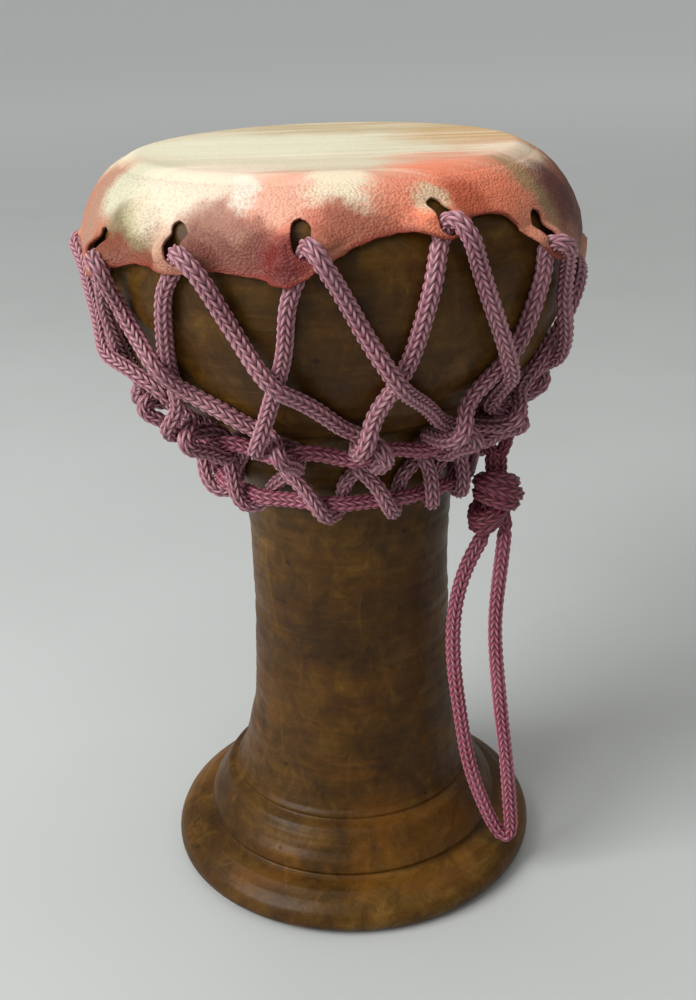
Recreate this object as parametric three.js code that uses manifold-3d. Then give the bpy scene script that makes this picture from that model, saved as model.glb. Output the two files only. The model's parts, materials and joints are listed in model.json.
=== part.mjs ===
// Goblet hand drum (darbuka): a one-piece thrown clay shell, a goatskin head
// drawn over the bowl, and knitted cord lacing that pulls the skin down to two
// cord rings at the neck.  Millimetres, +Z up, foot ring standing on z = 0,
// the drum's front faces -Y.
import * as THREE from 'three';
import { mergeVertices } from 'three/addons/utils/BufferGeometryUtils.js';
import Module from 'manifold-3d';

const wasm = await Module();
wasm.setup();

// ---------------------------------------------------------------- dimensions
const SHELL_SEGMENTS = 42;      // facets round the clay shell
const WALL_BOWL = 6.5;          // clay wall in the bowl
const WALL_STEM = 6.8;          // clay wall in the stem
const RIM_INNER_RADIUS = 53;    // mouth of the bowl under the skin
const SKIN_GAP = 0.58;           // clearance between skin and clay
const SKIN_THICKNESS = 1.0;     // dried goatskin
const SKIN_TOP = 250.3;         // playing surface height
const CREASE_RADIUS = 59.1;     // where the flat head turns over the rim
const CORD_RADIUS = 2.0;        // 5 mm knitted cord, drawn tight in the lacing
const CORD_SIDES = 5;           // facets round a held cord
const LOOP_RADIUS = 2.3;        // the slack carrying loop
const LOOP_SIDES = 8;
const HOLE_HALF_WIDTH = 2.9;    // lacing slot in the skin
const HOLE_HEIGHT = 9.0;
const CORD_PASS = 0.4;         // clearance of a cord in its slot

// outer profile of the clay shell: [height, radius]
const SHELL_OUTER = [
  [0, 61.5], [0.9, 64.0], [2.9, 65.6], [5.4, 65.6], [8, 64.3], [10.5, 61.5], [12.6, 57.5],
  [14.0, 53.0], [19, 51.8], [26.5, 46.4], [30.2, 43.0], [37, 39.6], [56, 36.4], [84, 34.4],
  [118, 33.9], [140, 35.5], [150, 38.0], [157.2, 40.4], [158.0, 40.1], [158.8, 40.9],
  [168.5, 42.2], [170.4, 43.4], [172.4, 49.6], [174.5, 53.2], [182, 61.6], [188, 65.4],
  [194, 68.4], [206, 73.2], [212, 74.9], [218, 76.0], [224, 76.4], [229, 75.7], [234, 73.9],
  [238, 71.8], [242, 68.9], [245, 65.8], [247.4, 62.0], [248.6, 58.8], [249.0, 55.5],
];
// inner profile, rim down to the foot
const SHELL_INNER = [
  [248.4, RIM_INNER_RADIUS + 0.6], [246.4, RIM_INNER_RADIUS], [238, 62.2],
  [222, 76.4 - WALL_BOWL], [206, 66.6], [190, 59.0], [178, 47.8], [169, 37.6],
  [146, 30.0], [110, 33.9 - WALL_STEM], [50, 30.2], [34, 33.2], [20, 42.6], [4, 54.0], [0, 55.2],
];
// the hand-thrown shell leans a little off its axis: [height, sideways shift]
const AXIS_DRIFT = [
  [0, 0], [30, 0], [60, 2.2], [130, 2.2], [165, 1.0], [185, 0.7], [205, 0.7],
  [222, 0], [246, -1.0], [252, -1.0],
];

// lacing slots in the skin: [azimuth in degrees from the front, height of the lower lip]
const HOLES = [
  [-101, 221.5], [-54.6, 225.8], [-30.8, 229.6], [-4.4, 232], [23.7, 235.4], [48.3, 226.4],
  [97, 215.5], [121, 227], [143, 230.5], [165, 234], [187.5, 231.5], [210.5, 233.5],
  [234, 228],
];
// lower edge of the skin, hanging in points at the slots: [azimuth, height]
const SKIN_EDGE = [
  [-90, 221.4], [-85.5, 224], [-81, 225.4], [-76.5, 225.1], [-72, 224], [-67.5, 222.7], [-63, 222], [-58.5, 222.1],
  [-54, 223], [-49.5, 225.4], [-45, 226.5], [-40.5, 227.1], [-36, 226.9], [-31.5, 226.3], [-27, 227], [-22.5, 227.2],
  [-18, 226.9], [-13.5, 226.1], [-9, 224.5], [-4.5, 226.6], [0, 229.7], [4.5, 233.2], [9, 234.8], [13.5, 235.7],
  [18, 235.1], [22.5, 232.7], [27, 234.6], [31.5, 237.6], [36, 237.6], [40.5, 236.7], [45, 229.3], [49.5, 223.6],
  [54, 224.5], [58.5, 225.8], [63, 225], [67.5, 221.2], [72, 218.4], [76.5, 216.4], [81, 214.1], [85.5, 211.6],
  [90, 210], [94.5, 211.2], [99, 217.9], [103.5, 224.6], [108, 225.6], [112.5, 223.1], [117, 220.7], [121.5, 221.8],
  [126, 226.3], [130.5, 228.5], [135, 226.3], [139.5, 223.8], [144, 224.3], [148.5, 226.9], [153, 228], [157.5, 227],
  [162, 226], [166.5, 226.8], [171, 228.9], [175.5, 229.2], [180, 226.6], [184.5, 224.1], [189, 224.9], [193.5, 227.1],
  [198, 228], [202.5, 227.1], [207, 226.1], [211.5, 226.4], [216, 227.8], [220.5, 228.5], [225, 225.5], [229.5, 221.6],
  [234, 221.4], [238.5, 223.4], [243, 224.9], [247.5, 223.1], [252, 218], [256.5, 215], [261, 216], [265.5, 218.4],
  [270, 221.4],
];

// Cord centre lines.
// One continuous cord laces the skin: out of a slot, down to the right, hitched
// round the upper ring, and back up under the skin to the next slot but one.
const TENSION_ROUTE = [
  [77.8, 7.2, 213], [80, 10.3, 216.2], [81.1, 12, 215.9], [80.7, 14.1, 214.7], [79.2, 15.8, 212.5], [75.8, 18.4, 206.3],
  [74.3, 22.4, 196.5], [68.2, 24.5, 189.2], [59.1, 25.3, 180.5], [55.9, 27.5, 177.6], [55.8, 31.8, 175.8], [58.2, 35.8, 174.3],
  [58.9, 37.1, 172.6], [57.6, 36.8, 170.8], [52.1, 33.4, 168.2], [47, 30.2, 164], [44.9, 28, 163.4], [44.2, 26.8, 163.8],
  [43.7, 24.8, 166], [44.9, 23.6, 169.1], [46.3, 23.6, 170.4], [50, 24.6, 171.4], [59.2, 28.7, 172.7], [61.9, 30.6, 173.8],
  [63.1, 32.3, 175.4], [62.1, 33, 177.2], [58.6, 32.9, 179.7], [56.9, 34.1, 181.8], [55.1, 44.7, 192.7], [54.2, 52.8, 204],
  [53, 58.3, 216.7], [50.2, 60.8, 223.7], [47.1, 62.8, 231.8], [47.1, 64.6, 233.8], [46.1, 68.2, 233.4], [45.3, 69.2, 232.5],
  [43.5, 69.7, 229.6], [37, 68.3, 211], [33.9, 70.1, 199.6], [32.3, 70, 195.9], [28.6, 68.1, 191.7], [19.5, 64.4, 185.1],
  [12.5, 60.6, 177.9], [8.8, 62.5, 176], [6.5, 67.9, 173.8], [6, 68.5, 171.9], [5.8, 67.8, 171], [4.9, 60, 167.5],
  [4.6, 54.1, 163.5], [5.3, 51.1, 163.6], [5.9, 50, 164.3], [7.3, 48.8, 167], [9, 49.8, 170], [9.8, 51.4, 170.8],
  [12.9, 63, 172.5], [13.2, 66.5, 173.5], [12.7, 68.9, 175], [11.6, 69.1, 176.9], [9.1, 65.8, 180.4], [7.5, 65.8, 183],
  [1.8, 71.1, 194], [-2.6, 76, 206.4], [-6.2, 78.7, 219.6], [-10.3, 77.8, 232.3], [-11.2, 78.4, 234.8], [-12.9, 80.1, 235.5],
  [-15.4, 81.2, 234.5], [-19.6, 79.3, 229], [-25.4, 73.1, 211], [-30.2, 70.6, 198.1], [-31.6, 69.1, 194.7], [-33.2, 64.8, 191.1],
  [-38.3, 53.8, 184.3], [-41.2, 45.1, 177.8], [-45.1, 43.2, 176], [-49.7, 44.2, 174.6], [-51.5, 44.7, 172.8], [-51, 43.7, 171],
  [-45.2, 38.4, 167.6], [-41.9, 35.4, 164.1], [-37.8, 33.5, 163.4], [-36.6, 33.3, 164.3], [-34.9, 33.8, 167], [-34.7, 35.7, 169.9],
  [-35.5, 37.3, 170.8], [-43, 46.8, 172.5], [-45.7, 49, 173.5], [-47.9, 50.1, 175], [-48.7, 49.4, 176.8], [-47.1, 46.1, 180.6],
  [-47.7, 45.5, 183.4], [-54.8, 46.4, 197.1], [-59.3, 47.5, 208.1], [-62.1, 47.8, 217.7], [-64.4, 46.8, 228.8], [-66.2, 46.9, 231],
  [-67.4, 46.9, 231.3], [-70.9, 45.2, 229.6], [-71.9, 41.1, 225.9], [-72.1, 35.8, 219.9], [-71.1, 28.9, 210.2], [-73.1, 21.6, 197.4],
  [-72.9, 19, 194.2], [-69.3, 13.4, 190.1], [-64.7, 0.6, 182.9], [-61.3, -4.9, 179.1], [-58.9, -9.6, 177.2], [-59.8, -13.9, 175.6],
  [-61.6, -15.5, 174.5], [-62.6, -16.3, 172.7], [-61.7, -16.2, 170.8], [-52.4, -14.3, 164], [-48.7, -12.1, 163.6], [-47.9, -11.2, 164.3],
  [-47.3, -9.5, 167], [-48.7, -8.1, 169.8], [-50.3, -7.8, 170.7], [-60.3, -7.6, 171.9], [-62.9, -8.3, 172.7], [-64.7, -9.7, 173.9],
  [-64.9, -11, 175.4], [-62.8, -13, 179.1], [-62.4, -15.2, 181.5], [-64.3, -23.6, 189.6], [-65.8, -32.5, 200.9], [-66.9, -39, 213.1],
  [-65.3, -44.6, 223.1], [-65.7, -46.7, 227.3], [-66.6, -48.9, 228.3], [-65.9, -52.6, 227.5], [-64.4, -53.4, 225.6], [-64, -53.3, 224.2],
  [-61.4, -49.6, 215.8], [-59.2, -49.3, 210.7], [-57.5, -50.6, 207.6], [-52.9, -56.4, 201.4], [-51, -58.1, 198.5], [-48.7, -58, 195.6],
  [-43.5, -55.6, 190.4], [-40.4, -55.4, 188.3], [-32, -56.8, 183.4], [-22.1, -57.1, 177.6], [-18.7, -60.1, 175.9], [-17.7, -64.7, 174.5],
  [-17.2, -66.4, 172.8], [-16.9, -66.3, 171.8], [-16, -64.3, 170.2], [-14.1, -57.9, 167.5], [-12.7, -53.7, 164.2], [-12.6, -50.7, 163.3],
  [-12.8, -49.2, 163.6], [-13.7, -47.2, 165.5], [-15.3, -46.8, 168.6], [-16.4, -47.5, 170.1], [-18.5, -50.5, 171.4], [-22.8, -59.7, 172.5],
  [-23.7, -63.1, 173.6], [-23.6, -65.6, 175.3], [-22.6, -66.6, 178], [-19.9, -66.6, 185], [-18.2, -67.5, 190.6], [-14, -73.9, 204.6],
  [-12.3, -77.8, 217.8], [-10.7, -78.1, 223.4], [-6.7, -77.8, 233.5], [-6.1, -79.2, 235.6], [-5.7, -80.3, 235.8], [-4.4, -82.5, 234.7],
  [-1.7, -83.2, 230.3], [6.3, -77.8, 214.2], [14.1, -76.5, 200.5], [17, -74.9, 195.6], [19, -72.8, 192.8], [24.4, -64.1, 186.4],
  [30.4, -54.1, 177.6], [34.7, -53.8, 175.8], [38.7, -56, 174.3], [40, -56.7, 172.5], [39.6, -55.3, 170.7], [36.1, -49.9, 168.2],
  [33.9, -46.1, 164.8], [30.9, -42.9, 163.4], [29.8, -42.2, 164.1], [27.9, -41.7, 166.4], [26.4, -43, 169.2], [26.3, -44.4, 170.5],
  [27.3, -48.1, 171.5], [31.6, -57.1, 172.7], [33.5, -59.9, 173.8], [35.3, -61.1, 175.6], [36.2, -60.4, 178.1], [36.6, -57.8, 182.3],
  [38, -56.5, 185.2], [50.2, -52.9, 197.2], [53, -53, 202.2], [56.1, -53.8, 211.5], [59.1, -52.2, 221.8], [59, -52.9, 226.9],
  [61.5, -53.8, 229.1], [65.1, -53.3, 227.6], [66.2, -47.5, 222.6], [66.6, -43.7, 217.9], [66.7, -40.2, 210.8], [68.5, -35.6, 199.6],
  [68.5, -30.2, 190.5], [68, -28.6, 188.6], [63.9, -22.6, 184.3], [60.1, -11.3, 177.1], [60.6, -8.4, 176.2], [62.2, -6.1, 175],
  [65.7, -4.4, 172.2], [63.9, -4.2, 169.3], [60.4, -4, 167.7], [57.1, -3.5, 164.5], [53, -3.9, 163.3], [50.6, -5, 164.7],
  [49.6, -6.5, 167.3], [50.6, -8.4, 170], [53.8, -10.1, 171], [58.5, -11.8, 171.6], [62.8, -12.2, 172.4], [65.2, -11.5, 173.4],
  [66.6, -10.1, 175], [66.3, -6.5, 177.6], [64.2, 0.1, 178.9], [64, 3.4, 179.8], [66, 10.5, 184.3], [69, 17.6, 192.6],
  [71.1, 27.1, 204.8], [70.9, 33.4, 214.9], [68.8, 38.5, 222.9], [68.1, 40.6, 227.6], [68.8, 42.1, 229.6], [69.7, 44.2, 229.7],
  [69.5, 46.5, 228.4], [68.1, 48, 226.1], [61.6, 47.6, 210], [57.9, 51, 195], [55, 50.7, 192.2], [45.6, 50, 185.1],
  [40.7, 48.6, 179.8], [38.4, 48.9, 177.8], [36.3, 52.4, 175.9], [36.6, 57, 174.5], [36.8, 58.7, 172.8], [36.5, 58.7, 171.9],
  [35.1, 57, 170.2], [31.6, 51.4, 167.5], [29.2, 47.7, 164.1], [28, 43.4, 163.6], [28.1, 42.2, 164.4], [28.9, 40.6, 167.2],
  [30.9, 41, 170.1], [33.8, 43.4, 171.4], [40.4, 51, 172.6], [42.1, 53.9, 173.6], [42.7, 56.1, 175.2], [41.6, 56.6, 177],
  [37.7, 54.8, 180.5], [36.2, 55.9, 182.9], [30.6, 66.6, 198.3], [28.5, 71.6, 209], [25.4, 74.9, 222.2], [19.6, 74.6, 236],
  [18.8, 76, 238], [16.7, 79.1, 237.5], [14.6, 80.1, 235.2], [12.1, 80.1, 229.9], [5.9, 77.5, 211.2], [0.8, 76.9, 196.1],
  [-2.1, 73.8, 191.9], [-10.6, 65.7, 184.6], [-16.3, 59.2, 177.8], [-20.6, 59.4, 176], [-24.2, 62.4, 174.5], [-25.5, 63.6, 172.8],
  [-25.7, 63.3, 171.9], [-25.1, 61.2, 170.2], [-22.7, 55.1, 167.5], [-21, 51, 164.2], [-19.2, 48.5, 163.3], [-18.2, 47.4, 163.6],
  [-16.4, 46.4, 165.5], [-14.9, 47.1, 168.6], [-14.6, 48.3, 170], [-14.8, 52, 171.2], [-17.1, 61.8, 172.6], [-18.4, 65, 173.5],
  [-19.9, 66.8, 175.1], [-21, 66.4, 176.9], [-21.5, 62.5, 180.6], [-22.6, 62.1, 183.4], [-30.5, 66.1, 198.6], [-35, 68.9, 211.5],
  [-37.8, 69.4, 223.1], [-39.4, 66.8, 234.2], [-40.6, 67, 236.9], [-42.8, 67.9, 237.9], [-45.5, 68.1, 237], [-46.6, 67.4, 235.9],
  [-50.5, 63.5, 227.9], [-53.5, 56, 211.8], [-57.2, 50.7, 197.2], [-57.8, 48.5, 194], [-57.5, 43.6, 190.6], [-58, 31.3, 184.2],
  [-56.5, 23.3, 178.7], [-56.4, 20, 177.3], [-59, 16.4, 175.8], [-61.3, 15.5, 174.8], [-62.9, 15.1, 173.1], [-61.6, 14.3, 170.4],
  [-56.9, 13.1, 167.6], [-53.5, 12.1, 164.5], [-50.6, 12, 163.4], [-47.8, 12.4, 163.9], [-46.1, 14.4, 167.9], [-47.4, 16.4, 170.5],
  [-56.4, 21.3, 171.9], [-61.6, 21.7, 173.5], [-62.7, 20.9, 175.2], [-61, 20.6, 179.1], [-61.5, 20.5, 181.7], [-72.2, 17.7, 203],
  [-78, 15.5, 221.1], [-79.7, 14.9, 222.8], [-80.9, 14.5, 222.8], [-83.5, 11.7, 221], [-78.5, 0.2, 212.8], [-73.7, -14.8, 204.3],
  [-69.2, -30.6, 195], [-59.7, -38.7, 190.9], [-55.3, -41.2, 188.4], [-52.5, -42, 186.2], [-47.1, -40.5, 179.5], [-45.1, -41.1, 177.6],
  [-43.9, -45, 175.8], [-45.2, -49.4, 174.3], [-45.6, -50.9, 172.6], [-44.4, -50.2, 170.8], [-39.9, -45.5, 168.2], [-35.6, -41.2, 164.2],
  [-34.1, -38.6, 163.4], [-33.7, -37.3, 163.7], [-33.8, -35.2, 165.8], [-35.1, -34.2, 168.9], [-36.4, -34.5, 170.2], [-39.8, -36.3, 171.4],
  [-47.7, -42.5, 172.6], [-49.9, -45.1, 173.6], [-50.8, -47.3, 175.3], [-49.9, -48.5, 177.6], [-47.1, -48.9, 181.7], [-46.4, -49.5, 185.1],
  [-47.8, -54.2, 197.9], [-47.1, -60.7, 210.3], [-45.7, -64.3, 221.4], [-41.5, -66.9, 228.6], [-40.9, -67.9, 231.3], [-40.5, -71.3, 233.2],
  [-39.2, -73.7, 232.3], [-34.5, -74.5, 226.7], [-26.4, -72.7, 210.8], [-20.5, -74.7, 200.7], [-16.8, -75, 195.9], [-8.4, -69.4, 189.4],
  [0.6, -63.6, 180.6], [4.7, -61.5, 177.8], [9.1, -62.6, 176], [11.9, -66.3, 174.5], [13.1, -67.7, 172.8], [13.4, -66.7, 171],
  [12.3, -58.9, 167.6], [11.8, -54.5, 164.3], [10.7, -51.7, 163.4], [9.1, -49.4, 164.4], [6.6, -49.2, 168.6], [5.4, -51.8, 171],
  [5.2, -64, 172.5], [5.8, -67.5, 173.5], [6.9, -69.7, 175.3], [8.1, -70, 177.8], [10, -68.2, 184.3], [11.8, -68.2, 187.6],
  [16.1, -69.4, 194], [19.8, -71.7, 200.7], [24.4, -74.6, 215.7], [26.8, -74.1, 225.3], [29.8, -69.9, 237.6], [30.7, -70.5, 239.6],
  [32.3, -72, 239.7], [34.2, -73.4, 238], [37, -73.1, 233.6], [39.2, -68.8, 225.9], [46.1, -63.6, 205.5], [48.3, -60.9, 198.4],
  [49.7, -57.7, 193.4], [50, -54.9, 190.6], [48.5, -50.4, 187], [45.4, -44.7, 180.1], [45.6, -42.4, 177.9], [49, -40.3, 175.9],
  [54.9, -41.2, 173.6], [56, -41.1, 171.8], [54.9, -39.7, 170.1], [49.7, -35.7, 167.6], [45.1, -32.2, 163.1], [42.1, -31, 163.1],
  [39.7, -30.8, 165.2], [39, -31.2, 166.8], [38.8, -33.2, 169.7], [39.6, -34.7, 170.6], [44.6, -41.1, 171.9], [48.8, -45, 172.9],
  [51.5, -46.6, 174.1], [53.5, -46.6, 175.9], [54.2, -43, 178.3], [54.7, -36, 179.7], [56, -33.4, 181], [58, -31.7, 182.9],
  [64.1, -28.4, 190.7], [66.8, -26, 193.9], [72.8, -19.2, 202.7], [75.7, -13.9, 207.8], [77.4, -7.1, 210.8], [77.7, 4.3, 211.8],
];
// Ring of cord lying under the bowl.
const UPPER_RING_ROUTE = [
  [-37.9, -37.4, 166.9], [-35.2, -39.6, 168.6], [-32.1, -41.6, 169], [-26.9, -43.7, 168.1], [-22, -46.5, 166.7], [-19, -49.1, 166.2],
  [-16, -51.2, 167.1], [-10.9, -52, 168.9], [-5.3, -51.6, 168.2], [0.2, -51.9, 166.8], [4, -53, 166.2], [7.6, -53.7, 167.1],
  [12.6, -52.1, 168.9], [17.4, -49.3, 168.1], [22.6, -47.4, 166.7], [26.5, -46.9, 166.3], [29.8, -45.9, 167.5], [32, -43.4, 168.8],
  [34, -40.6, 168.2], [38, -37.2, 166.6], [41.4, -35.4, 166.4], [42.6, -34.1, 167], [44.2, -30.6, 167.6], [49.8, -20.4, 165],
  [53.9, -9.2, 166.3], [54.6, -1.9, 169.1], [53.7, 3.7, 169.1], [50.6, 12.8, 167.3], [49.5, 18.6, 166.4], [48.6, 24.5, 166.5],
  [48.1, 26.3, 167], [44.9, 30.4, 168.9], [39.1, 35, 167.9], [34.3, 40.9, 166.3], [32.2, 44.1, 166.7], [30.7, 45, 167.8],
  [25.7, 47.1, 169.1], [16.6, 49.2, 167.1], [11.5, 51.9, 166.3], [9.8, 53.1, 166.4], [6.4, 53.6, 168], [1, 53, 169],
  [-6.2, 51.1, 167.4], [-12, 51, 166.3], [-15.9, 51.2, 166.5], [-17.6, 50.7, 167.4], [-22.2, 48, 169], [-26.3, 44.2, 168.2],
  [-30.8, 40.9, 166.8], [-34.4, 39.3, 166.3], [-37.8, 37.6, 166.9], [-40.9, 33.4, 169], [-42.4, 30, 168.8], [-44.3, 24.7, 167.6],
  [-47.5, 19.9, 166.4], [-50, 16.9, 166.4], [-51.2, 13.7, 168.1], [-51.5, 8.2, 169], [-50.6, -1.1, 167], [-52.1, -8.8, 166.5],
  [-51, -14.1, 168.7], [-49.5, -17.5, 169.1], [-41.9, -28.5, 166.8], [-39.6, -34, 166.2],
];
// Zigzag that ties the upper ring down to the neck ring.
const LOWER_ROUTE = [
  [-31.6, -30.8, 166.6], [-33.6, -30.2, 165.4], [-34.8, -31.7, 161.3], [-33.5, -33.5, 156.3], [-32.9, -35, 149.2], [-29.8, -34.6, 145.2],
  [-26.5, -33.4, 144.7], [-24.9, -32.8, 145.2], [-22.6, -32.4, 147.7], [-20.9, -34.8, 152.2], [-15.4, -40.1, 158.1], [-12.3, -41.9, 162.3],
  [-11.9, -42.4, 165.1], [-12.5, -42.4, 166.2], [-14.6, -42, 166.9], [-16.8, -41.9, 165.8], [-17.4, -42.2, 164.8], [-16.6, -44.5, 161.1],
  [-10.4, -47, 154.5], [-7.6, -48.1, 149.8], [-5.8, -47.5, 146.8], [-3.8, -45.4, 144.8], [-2.8, -44, 144.6], [-1, -41.5, 145.9],
  [0.2, -40.3, 148.7], [1.9, -42.8, 156.1], [6.9, -43.5, 161.1], [8.4, -43.5, 163.8], [8.1, -43.7, 165.1], [6.3, -44.5, 166.4],
  [4.6, -45.7, 165.4], [5.7, -47.8, 161.7], [10.5, -47.4, 155.9], [13.9, -47.3, 149.4], [15.1, -45.8, 146.4], [15.9, -42.9, 144.7],
  [16.5, -39.6, 145.2], [17.1, -37.4, 147.6], [17.4, -37.1, 149.2], [18.8, -38.6, 155.1], [20.9, -38.4, 157.5], [26, -36.3, 162.4],
  [26.2, -36.4, 165.1], [24.9, -38, 166.3], [24.1, -39.7, 165.1], [24.4, -40.5, 163.8], [26, -41.2, 160.9], [27.3, -40.7, 157.5],
  [28.1, -41, 149], [28.2, -39.4, 146.1], [28, -36.3, 144.6], [27.6, -33, 145.3], [27.5, -31.7, 146.5], [27.9, -30.6, 149.5],
  [30.6, -31.2, 155.6], [36.3, -26.7, 163.1], [36.2, -26.8, 164.6], [35.3, -28.4, 166.2], [34.7, -30.4, 165.4], [36, -31.9, 162.9],
  [38.2, -31.6, 156.2], [38.5, -32, 149.4], [38.3, -30.6, 146.4], [38, -29.4, 145.3], [36.7, -26.3, 144.7], [35.6, -23.5, 146.2],
  [35.7, -21.6, 149], [38.4, -18.9, 152.4], [42.6, -11.1, 156.3], [44.2, -6.8, 159.8], [44.9, -4.2, 163.9], [45.1, -4.5, 165.2],
  [45.2, -6.3, 166.6], [45.8, -8.4, 165.8], [46.5, -8.9, 164.8], [48.9, -7.3, 161.2], [49.6, 0.2, 155.1], [50.2, 4.7, 149.2],
  [48.9, 6.3, 146.2], [46.1, 7.5, 144.7], [42.9, 8.7, 145.3], [40.8, 9.7, 147.9], [41.2, 14.1, 154], [39.3, 22.2, 161.7],
  [38.7, 23.1, 164.5], [39.8, 22.1, 166.4], [41.4, 20.5, 166.2], [42.4, 20.2, 165.4], [43.8, 22.2, 161.7], [41.8, 26.5, 155.9],
  [40.4, 29.7, 149.4], [38.6, 30.2, 146.3], [35.6, 29.8, 144.7], [32.4, 29.1, 145.2], [30.1, 28.8, 147.7], [29.6, 29.1, 149.2],
  [29.7, 31.9, 155.3], [25, 37.1, 163], [25.2, 37.2, 165.6], [27.1, 36.5, 166.6], [29.2, 36.3, 165.5], [29.9, 36.8, 164.4],
  [29.2, 39.5, 160.4], [25.1, 42.2, 154.6], [23.2, 43.9, 149.7], [21.4, 43.6, 146.6], [19, 42, 144.7], [17.7, 40.9, 144.6],
  [15.2, 39, 146.1], [13.7, 38.5, 149], [12.2, 41.2, 155.2], [5.6, 44, 162.9], [5.7, 44.1, 165.5], [6.5, 44.2, 166.3],
  [8.7, 44.6, 166.3], [9.9, 45.7, 164.4], [9.2, 47.3, 161.8], [4.5, 48.2, 156.2], [1.7, 48.9, 151.4], [-0.5, 47.9, 146.6],
  [-1.9, 45.4, 144.7], [-3.3, 42.3, 145.1], [-4.6, 40.2, 147.4], [-5.1, 39.9, 148.9], [-7.6, 41.7, 155.1], [-14.8, 41.3, 162.8],
  [-14.9, 41.4, 165.4], [-14.2, 41.9, 166.3], [-12.4, 43.2, 166.3], [-11.8, 44.7, 164.5], [-13.1, 45.8, 161.9], [-18.7, 44.1, 154.7],
  [-21.2, 43.5, 149.8], [-22.1, 40.6, 145.4], [-22, 37.2, 144.6], [-22, 34.1, 146], [-22.4, 32.4, 148.9], [-25.5, 33.1, 154.9],
  [-31.8, 29.6, 162.7], [-32, 29.6, 165.4], [-31.1, 31.3, 166.6], [-30.4, 33.3, 165.7], [-30.7, 34.1, 164.6], [-33.3, 34, 160.6],
  [-36.5, 30.2, 154.8], [-38.6, 27.6, 148.3], [-38, 25.4, 145.6], [-36.4, 22.6, 144.6], [-35, 19.8, 145.9], [-34.5, 18.1, 148.7],
  [-37.5, 17.4, 154.8], [-41.6, 11.5, 162.6], [-41.8, 11.1, 164], [-41.9, 12.2, 166.2], [-41.8, 14.4, 166.4], [-42.7, 16, 164.7],
  [-44.9, 14.7, 160.7], [-46, 9.8, 155.1], [-46.8, 6.3, 148.6], [-45.5, 4.7, 145.7], [-42.8, 2.8, 144.6], [-40.2, 1, 145.7],
  [-38.8, -0.4, 148.5], [-41.4, -3.3, 156.1], [-42, -9.4, 162.5], [-42.2, -9.8, 165.2], [-43, -8.1, 166.6], [-44.2, -6.3, 165.8],
  [-45, -6, 164.8], [-46.5, -8.3, 161.1], [-44.9, -13.8, 155.9], [-43.9, -18.3, 150], [-42.4, -19.5, 146.9], [-39.6, -20, 144.8],
  [-36.2, -20.2, 144.9], [-33.6, -20.5, 147.1], [-33, -20.9, 148.7], [-33, -25.1, 154.9], [-29.7, -31.9, 162.9], [-29.9, -31.9, 165.6],
];
// Ring of cord round the neck.
const NECK_RING_ROUTE = [
  [-28.1, -32.8, 149.3], [-24.1, -37.2, 148.9], [-12.6, -40.8, 148.8], [-3.3, -44.2, 149.2], [0.6, -45.1, 149], [8.2, -43, 148.9],
  [16, -42.1, 149.3], [19.7, -41.1, 149], [24.3, -37.6, 149.1], [31, -34, 149.1], [34.4, -29.4, 149.1], [38.6, -25.4, 149.2],
  [40.7, -22.1, 148.9], [42.4, -14.3, 149.2], [45, -0.6, 148.6], [45.5, 7.3, 149.2], [45.3, 11.3, 149.1], [44.6, 13.3, 148.9],
  [40, 19.9, 148.9], [34.4, 30.3, 149.2], [31.8, 33.2, 149], [24.6, 36.7, 148.9], [18.1, 41.3, 149.3], [14.6, 43.2, 149],
  [6.7, 43.1, 148.9], [-5.1, 44.5, 149.2], [-7.1, 44.2, 149], [-14.1, 40.3, 148.9], [-23.5, 37.2, 149.2], [-26.7, 35, 148.9],
  [-29.9, 29.9, 148.9], [-36.8, 22.8, 149.2], [-39.2, 19.6, 149], [-40.2, 11.6, 148.9], [-43.5, 0.3, 149.2], [-43.5, -1.7, 148.9],
  [-40.7, -9.3, 149], [-37.3, -22.7, 149.2], [-36.3, -24.5, 148.9], [-31.8, -28.3, 148.8],
];
// Bight of the carrying cord over the upper ring.
const TIE_ROUTE = [
  [51.61, -24.87, 157.17], [52.82, -23.97, 160.13], [53.58, -23.22, 163.79], [53.17, -22.4, 167.35], [52.15, -21.84, 168.68], [50.7, -21.21, 169.46],
  [49.02, -20.59, 169.58], [47.34, -20.08, 169.02], [45.94, -19.85, 167.78], [45.05, -20.02, 166.1], [44.85, -20.64, 164.24], [47.14, -24.77, 158.48],
  [48.7, -25.76, 156.48], [49.67, -25.69, 156.1],
];
// Carrying loop, from the knot down and back.
const LOOP_ROUTE = [
  [45.7, -27.1, 129.3], [43.3, -27.5, 125], [41, -27.8, 120.7], [39.2, -28.2, 116.2], [37.7, -28.5, 111.5], [36.6, -28.9, 106.8],
  [35.9, -29.2, 102], [35.5, -29.5, 97.1], [35.3, -29.9, 92.2], [35.4, -30.2, 87.3], [35.7, -30.5, 82.4], [36.1, -30.9, 77.6],
  [36.6, -31.2, 72.7], [37.2, -31.5, 67.9], [37.8, -31.8, 63], [38.5, -32.1, 58.2], [39.2, -32.4, 53.3], [40, -32.7, 48.5],
  [41, -33, 43.7], [42.3, -33.3, 39], [43.7, -33.6, 34.3], [45.3, -33.9, 29.7], [47.1, -34.2, 25.1], [49, -34.5, 20.7],
  [51.4, -34.8, 16.4], [54.7, -34.9, 14.5], [55.5, -34.6, 19.2], [55.1, -34.3, 24], [54.8, -34, 28.9], [54.5, -33.7, 33.8],
  [54.1, -33.4, 38.7], [53.7, -33, 43.5], [53.2, -32.7, 48.4], [52.7, -32.4, 53.3], [52.2, -32.1, 58.1], [51.7, -31.8, 63],
  [51.2, -31.5, 67.8], [50.8, -31.2, 72.7], [50.4, -30.9, 77.6], [50, -30.5, 82.5], [49.6, -30.2, 87.3], [49.4, -29.9, 92.2],
  [49.4, -29.5, 97.1], [49.6, -29.2, 102], [50, -28.8, 106.8], [50.4, -28.5, 111.7], [51, -28.1, 116.6], [51.6, -27.8, 121.4],
  [52.1, -27.4, 126.3], [52.5, -27, 131.1],
];

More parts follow.
